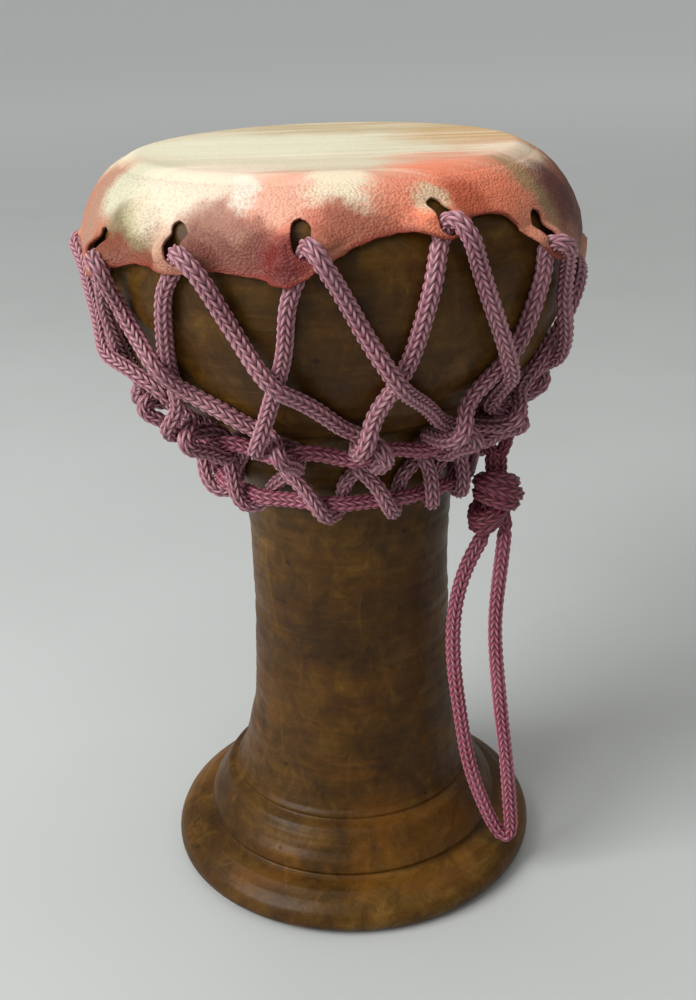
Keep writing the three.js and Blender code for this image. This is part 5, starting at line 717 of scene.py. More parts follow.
def knitted(name, P, closed, radius=2.55e-3, wales=4, pitch=2.6e-3, per=6, relief=0.85e-3,
            smoothing=2, turn=0.0, spin=0.0, cap=True, slant=1.1):
    """Spool-knitted cord: columns of V stitches.  The mesh rows run along the legs of
    the V's, so each leg is a rounded strand of yarn with a groove beside it."""
    C, length = resample(P, closed, 0.5e-3, smoothing)
    T, N, B = frames_along(C, closed)
    m = len(C)
    courses = max(3, int(round(length / pitch)))
    pitch = length / courses
    legs = 4                                     # mesh columns across one leg
    around = wales * 2 * legs
    q = np.arange(around)
    side = (q // legs) % 2                       # left or right leg of the V
    u = (q % legs + 0.0) / legs                  # across the leg
    a = np.where(side == 0, 1 - u, u)            # 0 at the foot of the V, 1 between columns
    theta = (q // (2 * legs) + 0.5 * side + 0.5 * u) / wales * 2 * math.pi
    # legs narrow and dive at both ends, where the loops pass through each other
    ride = np.sin(math.pi * np.clip(0.5 * (1 - np.cos(math.pi * a)), 0, 1)) ** 0.8
    phases = np.array([0.0, 0.2, 0.38, 0.5, 0.62, 0.8])
    bulge = np.sqrt(np.clip(1 - (2 * np.abs(phases - np.round(phases))) ** 2.0, 0, 1))   # 1 on the ridge, 0 in the groove
    n = courses * per + (0 if closed else 1)
    k = np.arange(n)
    ph = k // per + phases[k % per]
    S = (ph[:, None] + slant * (a[None, :] - 0.5)) * pitch
    jitter = 0.06 * np.sin(ph * 1.7 + 0.9)[:, None] * pitch
    S = S + jitter
    H = (0.30 + 0.70 * ride)[None, :] * bulge[k % per][:, None]
    hole = (1 - ride)[None, :] * (1 - bulge[k % per])[:, None]
    H = H - 0.25 * hole
    if closed:
        S = np.mod(S, length)
        idx = S / length * m
        i0 = np.floor(idx).astype(int) % m
        i1 = (i0 + 1) % m
        f = (idx - np.floor(idx))[..., None]
    else:
        idx = np.clip(S / length, 0, 1) * (m - 1)
        i0 = np.clip(np.floor(idx).astype(int), 0, m - 2)
        i1 = i0 + 1
        f = (idx - i0)[..., None]
    mixin = lambda A: A[i0] * (1 - f) + A[i1] * f
    c3, n3, b3 = mixin(C), mixin(N), mixin(B)
    ang = theta[None, :] + turn + spin * S / pitch
    if closed and spin:
        ang = theta[None, :] + turn + 2 * math.pi * round(spin * courses / (2 * math.pi)) * S / length
    uneven = 0.05e-3 * np.sin(S / pitch * 0.37 + 1.3)
    R = radius - relief + relief * H + uneven
    if not closed and cap:
        d = np.minimum(ph, courses - ph)[:, None] * pitch
        R = R * np.sqrt(np.clip(1 - (1 - np.clip(d / (radius * 0.8), 0, 1)) ** 2 * 0.75, 0.05, 1))
    X = c3 + R[..., None] * (np.cos(ang)[..., None] * n3 + np.sin(ang)[..., None] * b3)
    V = X.reshape(-1, 3)
    F = [rows_faces(n, around, close_n=closed)]
    hh = H.ravel()
    if not closed:
        k0 = len(V)
        V = np.vstack([V, C[0] - T[0] * radius * 0.35, C[-1] + T[-1] * radius * 0.35])
        hh = np.r_[hh, 0.3, 0.3]
        j = np.arange(around)
        j2 = (j + 1) % around
        F.append(np.stack([np.full(around, k0), j, j2], -1))
        e = (n - 1) * around
        F.append(np.stack([np.full(around, k0 + 1), e + j2, e + j], -1))
    ob = make_mesh(name, V, F)
    point_attribute(ob, "knit", hh)
    return ob, C, length


# ---------------------------------------------------------------- materials
def new_material(name):
    m = bpy.data.materials.new(name)
    m.use_nodes = True
    nt = m.node_tree
    nt.nodes.clear()
    out = nt.nodes.new("ShaderNodeOutputMaterial")
    bsdf = nt.nodes.new("ShaderNodeBsdfPrincipled")
    nt.links.new(bsdf.outputs[0], out.inputs[0])
    return m, nt, bsdf


class Net:
    """Short spellings for building a node tree."""

    def __init__(self, nt):
        self.nt = nt
        self.pos = nt.nodes.new("ShaderNodeNewGeometry").outputs["Position"]
        self.obj = nt.nodes.new("ShaderNodeTexCoord").outputs["Object"]

    def put(self, socket, value):
        if isinstance(value, bpy.types.NodeSocket):
            self.nt.links.new(value, socket)
        elif value is not None:
            if hasattr(socket.default_value, "__len__") and not hasattr(value, "__len__"):
                value = [value] * len(socket.default_value)
            socket.default_value = value

    def math(self, op, a, b=None, c=None, clamp=False):
        n = self.nt.nodes.new("ShaderNodeMath")
        n.operation = op
        n.use_clamp = clamp
        for s, v in zip(n.inputs, (a, b, c)):
            if v is not None:
                self.put(s, v)
        return n.outputs[0]

    def vec(self, op, a, b=None, scale=None):
        n = self.nt.nodes.new("ShaderNodeVectorMath")
        n.operation = op
        self.put(n.inputs[0], a)
        if b is not None:
            self.put(n.inputs[1], b)
        if scale is not None:
            self.put(n.inputs["Scale"], scale)
        return n.outputs["Value"] if op in ("DISTANCE", "LENGTH", "DOT_PRODUCT") else n.outputs["Vector"]

    def mapping(self, vector, scale=(1, 1, 1), rotation=(0, 0, 0), location=(0, 0, 0)):
        n = self.nt.nodes.new("ShaderNodeMapping")
        self.put(n.inputs["Vector"], vector)
        n.inputs["Scale"].default_value = scale
        n.inputs["Rotation"].default_value = rotation
        n.inputs["Location"].default_value = location
        return n.outputs[0]

    def noise(self, vector, scale, detail=3, rough=0.5, distortion=0.0, color=False):
        n = self.nt.nodes.new("ShaderNodeTexNoise")
        self.put(n.inputs["Vector"], vector)
        n.inputs["Scale"].default_value = scale
        n.inputs["Detail"].default_value = detail
        n.inputs["Roughness"].default_value = rough
        n.inputs["Distortion"].default_value = distortion
        return n.outputs["Color" if color else "Fac"]

    def voronoi(self, vector, scale, feature='F1', randomness=1.0, out="Distance"):
        n = self.nt.nodes.new("ShaderNodeTexVoronoi")
        n.feature = feature
        self.put(n.inputs["Vector"], vector)
        n.inputs["Scale"].default_value = scale
        n.inputs["Randomness"].default_value = randomness
        return n.outputs[out]

    def ramp(self, fac, stops, interpolation='LINEAR'):
        n = self.nt.nodes.new("ShaderNodeValToRGB")
        self.put(n.inputs[0], fac)
        cr = n.color_ramp
        cr.interpolation = interpolation
        while len(cr.elements) < len(stops):
            cr.elements.new(0.5)
        for e, (p, c) in zip(cr.elements, stops):
            e.position = p
            e.color = (*c, 1) if hasattr(c, "__len__") else (c, c, c, 1)
        return n.outputs[0]

    def range(self, v, a, b, c=0.0, d=1.0, smooth_step=True):
        n = self.nt.nodes.new("ShaderNodeMapRange")
        n.interpolation_type = 'SMOOTHSTEP' if smooth_step else 'LINEAR'
        self.put(n.inputs["Value"], v)
        for k, x in (("From Min", a), ("From Max", b), ("To Min", c), ("To Max", d)):
            n.inputs[k].default_value = x
        return n.outputs[0]

    def mix(self, fac, a, b, mode='MIX'):
        n = self.nt.nodes.new("ShaderNodeMix")
        n.data_type = 'RGBA'
        n.blend_type = mode
        self.put(n.inputs["Factor"], fac)
        for s, v in ((n.inputs[6], a), (n.inputs[7], b)):
            if hasattr(v, "__len__") and len(v) == 3:
                v = (*v, 1)
            self.put(s, v)
        return n.outputs[2]

    def attribute(self, name):
        n = self.nt.nodes.new("ShaderNodeAttribute")
        n.attribute_name = name
        return n.outputs["Fac"]

    def bump(self, height, strength, distance, normal=None):
        n = self.nt.nodes.new("ShaderNodeBump")
        n.inputs["Strength"].default_value = strength
        n.inputs["Distance"].default_value = distance
        self.put(n.inputs["Height"], height)
        if normal is not None:
            self.put(n.inputs["Normal"], normal)
        return n.outputs[0]


def lin(r, g, b):
    """8-bit screen colour to linear."""
    f = lambda c: (c / 255) / 12.92 if c / 255 <= 0.04045 else ((c / 255 + 0.055) / 1.055) ** 2.4
    return (f(r), f(g), f(b))


def cord_material(name, deep, mid, pale, worn=0.5):
    """Knitted synthetic cord: painted shade in the stitch holes, a painted highlight where the yarn stands up."""
    m, nt, bsdf = new_material(name)
    k = Net(nt)
    knit = k.attribute("knit")
    fibre = k.noise(k.obj, 4200, 2, 0.6)
    blotch = k.noise(k.obj, 38, 3, 0.55)
    h = k.math('ADD', knit, k.math('MULTIPLY', k.math('SUBTRACT', fibre, 0.5), 0.30))
    # painted shade and highlight: the knit height runs from the deep colour in the holes to the pale colour on the
    # ridges
    base = k.ramp(h, [(0.02, deep), (0.22, tuple(0.6 * a + 0.4 * b for a, b in zip(deep, mid))), (0.48, mid),
                      (0.80, tuple(0.5 * a + 0.5 * b for a, b in zip(pale, mid))), (0.98, pale)])
    base = k.mix(k.math('MULTIPLY', k.range(blotch, 0.40, 0.68), worn * 0.5), base, k.mix(0.6, base, pale))
    soil = k.noise(k.obj, 90, 4, 0.6)
    base = k.mix(k.math('MULTIPLY', k.range(soil, 0.55, 0.75), 0.18), base, k.mix(0.5, base, deep))
    nt.links.new(base, bsdf.inputs["Base Color"])
    bsdf.inputs["Roughness"].default_value = 0.44
    bsdf.inputs["Sheen Weight"].default_value = 0.22
    bsdf.inputs["Sheen Roughness"].default_value = 0.4
    bsdf.inputs["Sheen Tint"].default_value = (1.0, 0.86, 0.90, 1)
    bsdf.inputs["Specular IOR Level"].default_value = 0.5
    strand = k.noise(k.obj, 3400, 2, 0.6)
    nt.links.new(k.bump(strand, 0.45, 0.0002), bsdf.inputs["Normal"])
    return m


# per cord: the deep colour is painted shade in the stitch holes (and the soil tint), the pale colour a painted
# highlight on the ridges (and the worn blotches)
PINK = cord_material("cord_dusty_pink", lin(40, 6, 14), lin(142, 82, 94), lin(206, 154, 164))
RASPBERRY = cord_material("cord_raspberry", lin(40, 3, 12), lin(138, 56, 76), lin(200, 128, 146))
MAROON = cord_material("cord_maroon", lin(30, 2, 8), lin(112, 34, 50), lin(170, 88, 106))

# ---------------------------------------------------------------- lacing and rings
def held_cord(node, points, material, parts=1, body="drum", **kw):
    """A held cord: one knitted tube, or two that meet out of sight behind the skin."""
    made = []
    if parts == 1:
        ob, C, L = knitted(node + "_knit", points, True, **kw)
        made.append(ob)
    else:
        C, L = resample(points, True, 2e-3, 1)
        z_mm, r_mm = C[:, 2] * 1000, np.hypot(C[:, 0], C[:, 1]) * 1000
        hidden = np.where((z_mm > 212) & (r_mm - np.interp(z_mm, SHELL[:, 0], SHELL[:, 1]) < 3.4))[0]
        cut = [int(hidden[np.argmin(np.abs(hidden - len(C) * i / parts))]) for i in range(parts)]
        for i in range(parts):
            last = cut[i + 1] if i < parts - 1 else len(C) + cut[0]
            seg = np.take(C, range(cut[i], last + 3), axis=0, mode='wrap')
            ob, _, _ = knitted(f"{node}_knit_{i + 1}", seg, False, smoothing=1, **kw)
            made.append(ob)
    for ob in made:
        ob.data.materials.append(material)
        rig.ride(ob, body)
        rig.replaces(ob, node)
        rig.slot(ob, "knitted_cord")
    return made


T_pts = route(TENSION)
held_cord("tension_lacing", T_pts, PINK, parts=3, radius=2.6e-3)
held_cord("upper_ring_cord", route(UPPER_RING), RASPBERRY, radius=2.45e-3)
held_cord("lower_lacing", route(LOWER), PINK, radius=2.5e-3)
held_cord("neck_ring_cord", route(NECK_RING), RASPBERRY, radius=2.45e-3)

# ---------------------------------------------------------------- carrying cord
loop_pts = route(LOOP)
loop_ob, loop_path, loop_len = knitted("carry_loop_knit", loop_pts, False, radius=2.6e-3, smoothing=1)
loop_ob.data.materials.append(RASPBERRY)
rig.ride(loop_ob, "carry")
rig.replaces(loop_ob, "carry_loop")
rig.slot(loop_ob, "knitted_cord")

tie_ob, _, _ = knitted("carry_tie_knit", route(TIE), True, radius=2.35e-3, smoothing=1)
tie_ob.data.materials.append(MAROON)
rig.replaces(tie_ob, "carry_tie")
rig.slot(tie_ob, "knitted_cord")
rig.blend(tie_ob, "tie", "carry", start=(0.0492, -0.0262, 0.1585), end=(0.0492, -0.0262, 0.152))


def knot_route():
    """One cord wound as an overhand knot: two fat turns, then two slanting ones below."""
    turns = [  # centre x, y, z, radius x, radius y, tilt about y, tilt about x
        (49.5, -27.2, 149.6, 4.8, 4.8, 10, -8),
        (50.0, -27.4, 146.2, 6.3, 5.8, 15, -12),
        (50.0, -27.6, 142.4, 6.4, 5.8, 15, -12),
        (46.7, -27.9, 138.2, 4.7, 4.8, -26, 10),
        (46.3, -27.4, 134.8, 3.9, 4.1, -26, 10),
    ]
    out = []
    steps = 22
    total = 4.6 * steps
    for i in range(int(total) + 1):
        t = i / steps
        a = min(len(turns) - 1, int(t))
        b = min(len(turns) - 1, a + 1)
        f = float(smooth(t - a))
        p = [(1 - f) * u + f * v for u, v in zip(turns[a], turns[b])]
        ang = 2 * math.pi * t + math.radians(215)
        v = Vector((p[3] * math.cos(ang), p[4] * math.sin(ang), 0))
        v.rotate(Matrix.Rotation(math.radians(p[5]), 3, 'Y'))
        v.rotate(Matrix.Rotation(math.radians(p[6]), 3, 'X'))
        out.append([p[0] + v.x, p[1] + v.y, p[2] + v.z])
    return np.array(out) * MM


knot_ob, _, _ = knitted("carry_knot_wraps", knot_route(), False, radius=2.75e-3, smoothing=2)
knot_ob.data.materials.append(MAROON)
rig.ride(knot_ob, "carry")
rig.replaces(knot_ob, "carry_knot")
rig.slot(knot_ob, "knitted_cord")
# the standing strands inside the knot, from the tie down to the loop's two ends
for i, (x0, x1) in enumerate(((48.2, 45.9), (50.6, 52.2))):
    end = loop_pts[0] if i == 0 else loop_pts[-1]
    P = np.array([[x0, -26.2, 157.2], [x0, -26.3, 153.8], [x0 + 0.1, -26.8, 150], [0.5 * (x0 + x1) + 0.6, -27.3, 145.5],
                  [0.4 * x0 + 0.6 * x1, -27.6, 140], [0.2 * x0 + 0.8 * x1, -27.4, 136]]) * MM
    P = np.vstack([P, [end + np.array([0, 0, 0.0022])], [end - np.array([0, 0, 0.001])]])
    s_ob, _, _ = knitted(f"carry_knot_strand_{i + 1}", P, False, radius=2.5e-3, smoothing=0)
    s_ob.data.materials.append(MAROON)
    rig.ride(s_ob, "carry")
    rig.slot(s_ob, "knitted_cord")

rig.cord(loop_ob, exit=tuple(loop_path[0]), length=0.240, diameter=0.005, far_end="object", stiffness="limp",
        lay="hanging", path=[tuple(p) for p in loop_path[np.linspace(0, len(loop_path) - 1, 40).round().astype(int)]])

# ---------------------------------------------------------------- goatskin head
def edge_height(az):
    a = (np.asarray(az) + 110) % 360 - 110
    return np.interp(a, EDGE[:, 0], EDGE[:, 1])


def lift(az, z):
    """Stand-off of the skin over the cord hidden behind it below each slot."""
    most = np.zeros(np.broadcast(az, z).shape)
    for a, lip in HOLES:
        along = np.radians(wrap(az - a)) * 76
        below = np.clip(lip + 1 - z, 0, 14)
        d = np.hypot(along + 0.22 * below, 2.0 * np.clip(z - lip - 0.5, 0, None))
        w = smooth((12.5 - d) / 9.5)
        most = np.maximum(most, 4.65 * w)
    return most


def value_noise(x, y, seed, period_x=None):
    """Soft noise on a lattice, repeating every period_x cells in x."""
    r = np.random.default_rng(seed)
    px = period_x or 256
    table = r.random((px, 256)) * 2 - 1
    xi, yi = np.floor(x).astype(int), np.floor(y).astype(int)
    fx, fy = smooth(x - xi), smooth(y - yi)
    g = lambda i, j: table[i % px, j % 256]
    return ((g(xi, yi) * (1 - fx) + g(xi + 1, yi) * fx) * (1 - fy)
            + (g(xi, yi + 1) * (1 - fx) + g(xi + 1, yi + 1) * fx) * fy)


SLOT_LEAN = {1: -3.4, 2: -3.2, 3: -1.8, 5: 2.6}
SLOT_TOP = {1: 9.0, 2: 9.6, 3: 8.6, 4: 8.0, 5: 10.4}


def build_skin():
    per_gap = 30                                # columns from slot to slot
    nc = 13 * per_gap
    # columns crowd towards the slots
    cols = []
    hs = HOLES[:, 0]
    for i in range(13):
        a0 = hs[i]
        a1 = hs[(i + 1) % 13] + (360 if i == 12 else 0)
        t = np.arange(per_gap) / per_gap
        u = t - 0.11 * np.sin(2 * math.pi * t) * 0.9
        cols.append(a0 + (a1 - a0) * u)
    az = np.concatenate(cols)
    # rows: flat top rings, crease, then down the side
    top_r = np.r_[np.linspace(0.8, 54, 30), 55.5, 56.8]
    nside = 78
    f = np.linspace(0, 1, nside)
    rows = []
    info = []
    for r in top_r:
        z = np.full(nc, 249.85)
        # the playing face is drawn tight: the faintest dish and ripple
        ang = np.radians(az)
        z = z - 0.12 * (1 - (r / 57) ** 2) + 0.05 * value_noise(az / 360 * 24, np.full(nc, r / 9), 3, 24) * (r / 57)
        rows.append(np.stack([r * np.sin(ang) + drift(250), -r * np.cos(ang), z], -1))
        info.append(np.full(nc, 2.0))
    # the side follows the shell from the rim down; the middle of the sheet stands 0.9 mm off the clay
    ze = edge_height(az)
    for k in range(nside):
        if k < 10:
            # over the rim on a small radius
            t = k / 9
            a = t * math.radians(62)
            # crease arc from (57.4, 249.85) to the shoulder of the bowl
            zc = 249.85 - 2.1 * (1 - math.cos(a)) * 1.0
            rr = 57.4 + 2.3 * math.sin(a) + 2.0 * t * t
            zc = 249.85 - 2.55 * t ** 1.7
            rr = 57.6 + 5.55 * t
            r = np.full(nc, rr)
            z = np.full(nc, zc)
            nr, nz = np.full(nc, 0.5), np.full(nc, 0.86)
        else:
            g = (k - 9) / (nside - 10)
            z0 = 246.9
            zz = z0 + (ze - z0) * g ** 0.96
            dr = shell_r(zz + 1.6) - shell_r(zz - 1.6)
            l = np.hypot(3.2, dr)
            nr, nz = 3.2 / l, -dr / l
            off = 0.95 + lift(az, zz)
            # drawn folds: ridges that run from each slot up to the rim, fading upward
            w = np.clip((247 - zz) / 20, 0, 1)
            fold = value_noise(az / 360 * 65, zz / 16, 5, 65) * 0.30 * w + value_noise(az / 360 * 26, zz / 30, 6, 26) * 0.45 * w
            off = off + np.clip(fold, -0.25, 1.0)
            # the cut edge curls a little off the clay between the points
            lowness = smooth((g - 0.86) / 0.14)
            off = off + 0.5 * lowness * (0.5 + 0.5 * value_noise(az / 360 * 90, zz * 0, 9, 90))
            r = shell_r(zz) + off * nr
            z = zz + off * nz * 0.9
        ang = np.radians(az)
        rows.append(np.stack([r * np.sin(ang) + drift(z), -r * np.cos(ang), z], -1))
        info.append(np.full(nc, 1.0 if k < 10 else 0.0))
    G = np.stack(rows)                           # rows, columns, xyz
    nr_ = len(G)
    # frayed lower edge: jagged fine tufts
    fray = 0.5 * value_noise(np.arange(nc) * 0.9, np.zeros(nc), 21, 351) + 0.35 * value_noise(np.arange(nc) * 0.37, np.zeros(nc), 22, 256)
    for q, m in ((1, 1.0), (2, 0.45), (3, 0.15)):
        G[-q, :, 2] -= 0.7 * np.clip(fray, -0.6, 1.0) * m
    # open the slots: the column at each slot splits, its neighbours part on both sides
    F = rows_faces(nr_, nc, close_n=False)
    V = G.reshape(-1, 3).copy()
    hem = np.zeros((nr_, nc))
    for q in range(nside):
        hem[len(top_r) + q] = smooth(1.0 - (247.0 - ze) * (1 - ((q - 9) / (nside - 10)) ** 0.96) / 1.9) if q > 9 else 0
    hem = list(hem.reshape(-1))
    extra = []
    Fk = F.copy()
    side_start = len(top_r) + 9
    for i in range(13):
        a, lip = HOLES[i]
        c = i * per_gap
        bottom, top = lip - 0.2, lip + SLOT_TOP.get(i, 8.6)
        W = 2.7
        zrow = G[side_start:, c, 2]
        inside = np.flatnonzero((zrow < top) & (zrow > bottom)) + side_start
        if len(inside) < 3:
            continue
        r0, r1 = inside[0], inside[-1]
        # the slots are cut upright, not along the meridian: lean the sheet round each one
        lean = SLOT_LEAN.get(i, 0.0)
        for rr_ in range(side_start, nr_ if lean else side_start):
            z = G[rr_, c, 2]
            t = np.clip((z - lip) / (top - lip), 0, 1) if z <= top else np.clip(1 - (z - top) / 6, 0, 1)
            for dcol in range(-28, 29):
                cc = (c + dcol) % nc
                x = abs(math.radians(float(wrap(az[cc] - a))) * 77)
                V[rr_ * nc + cc] += np.array([math.cos(math.radians(a)), math.sin(math.radians(a)), 0.0]) * lean * float(t) * max(0.0, 1 - (x / 15.0) ** 2) ** 2
        # half width of the opening at each row
        tang = np.array([math.cos(math.radians(a)), math.sin(math.radians(a)), 0.0])
        half = {}
        for rr_ in range(r0, r1 + 1):
            z = G[rr_, c, 2]
            h1 = min(1.0, (top - z) / W)
            h2 = min(1.0, (z - bottom) / W)
            half[rr_] = W * math.sqrt(max(0.0, 1 - (1 - h1) ** 2)) * math.sqrt(max(0.0, 1 - (1 - h2) ** 2))
        # push neighbours sideways; the push dies out over about 9 mm
        for rr_, hw in half.items():
            for dcol in range(-20, 21):
                if dcol == 0:
                    continue
                cc = (c + dcol) % nc
                p = V[rr_ * nc + cc]
                x = abs(math.radians(float(wrap(az[cc] - a))) * 77)
                push = hw * max(0.0, 1 - x / 11.0) ** 1.3
                V[rr_ * nc + cc] = p + tang * push * (1 if dcol > 0 else -1)
        # split the slot's own column for the open rows
        base = len(V) + len(extra)
        new_id = {}
        for rr_ in range(r0, r1 + 1):
            p = V[rr_ * nc + c].copy()
            new_id[rr_] = base + len(new_id)
            extra.append(p + tang * half[rr_])
            # painted shade: the slot's cut edges are darkened
            hem[rr_ * nc + c] = 0.55
            V[rr_ * nc + c] = p - tang * half[rr_]
        # faces to the right of the column use the new copy
        for rr_ in range(r0 - 1, r1 + 1):
            fidx = rr_ * nc + c
            face = Fk[fidx]
            # rows_faces order: a (row, col), d (row+1, col), c (row+1, col+1), b (row, col+1)
            if rr_ in new_id:
                face[0] = new_id[rr_]
            if rr_ + 1 in new_id:
                face[1] = new_id[rr_ + 1]
    V = np.vstack([V, np.array(extra)])
    hem = np.array(hem + [0.55] * len(extra) + [0.0])
    # centre fan
    centre = len(V)
    V = np.vstack([V, [drift(250), 0, 249.72]])
    j = np.arange(nc)
    tri = np.stack([np.full(nc, centre), j, (j + 1) % nc], -1)
    return V, Fk, tri, nc, az, hem


def solidify(V, quads, tris, thickness):
    """Two skins and a wall round every open edge."""
    N = np.zeros_like(V)
    for F, in ((quads,), (tris,)):
        if len(F) == 0:
            continue
        a, b, c = V[F[:, 0]], V[F[:, 1]], V[F[:, 2]]
        n = np.cross(b - a, c - a)
        if F.shape[1] == 4:
            n = np.cross(V[F[:, 2]] - V[F[:, 0]], V[F[:, 3]] - V[F[:, 1]])
        for k in range(F.shape[1]):
            np.add.at(N, F[:, k], n)
    l = np.linalg.norm(N, axis=1)[:, None]
    N = N / np.maximum(l, 1e-12)
    O = V + N * thickness / 2
    I = V - N * thickness / 2
    n = len(V)
    edges = {}
    for F in (quads, tris):
        m = F.shape[1]
        for k in range(m):
            for u, v in zip(F[:, k], F[:, (k + 1) % m]):
                edges[(int(u), int(v))] = True
    wall = [(v, u, u + n, v + n) for (u, v) in edges if (v, u) not in edges]
    verts = np.vstack([O, I])
    faces = [quads, (quads[:, ::-1] + n), tris, (tris[:, ::-1] + n), np.array(wall)]
    return verts, faces, N


SV, SQ, ST, s_nc, s_az, s_hem = build_skin()
# make outward winding certain
fn = np.cross(SV[SQ[5000, 2]] - SV[SQ[5000, 0]], SV[SQ[5000, 3]] - SV[SQ[5000, 1]])
if fn @ (SV[SQ[5000, 0]] * [1, 1, 0.0] + [0, 0, 60]) < 0:
    SQ = SQ[:, ::-1].copy()
fn = np.cross(SV[ST[0, 1]] - SV[ST[0, 0]], SV[ST[0, 2]] - SV[ST[0, 0]])
if fn[2] < 0:
    ST = ST[:, ::-1].copy()
verts, faces, _ = solidify(SV, SQ, ST, 0.9)
skin = make_mesh("goatskin_sheet", verts * MM, faces)
hem_at = skin.data.attributes.new("hem", 'FLOAT', 'POINT')
hem_at.data.foreach_set("value", np.tile(s_hem, 2).astype(np.float32))


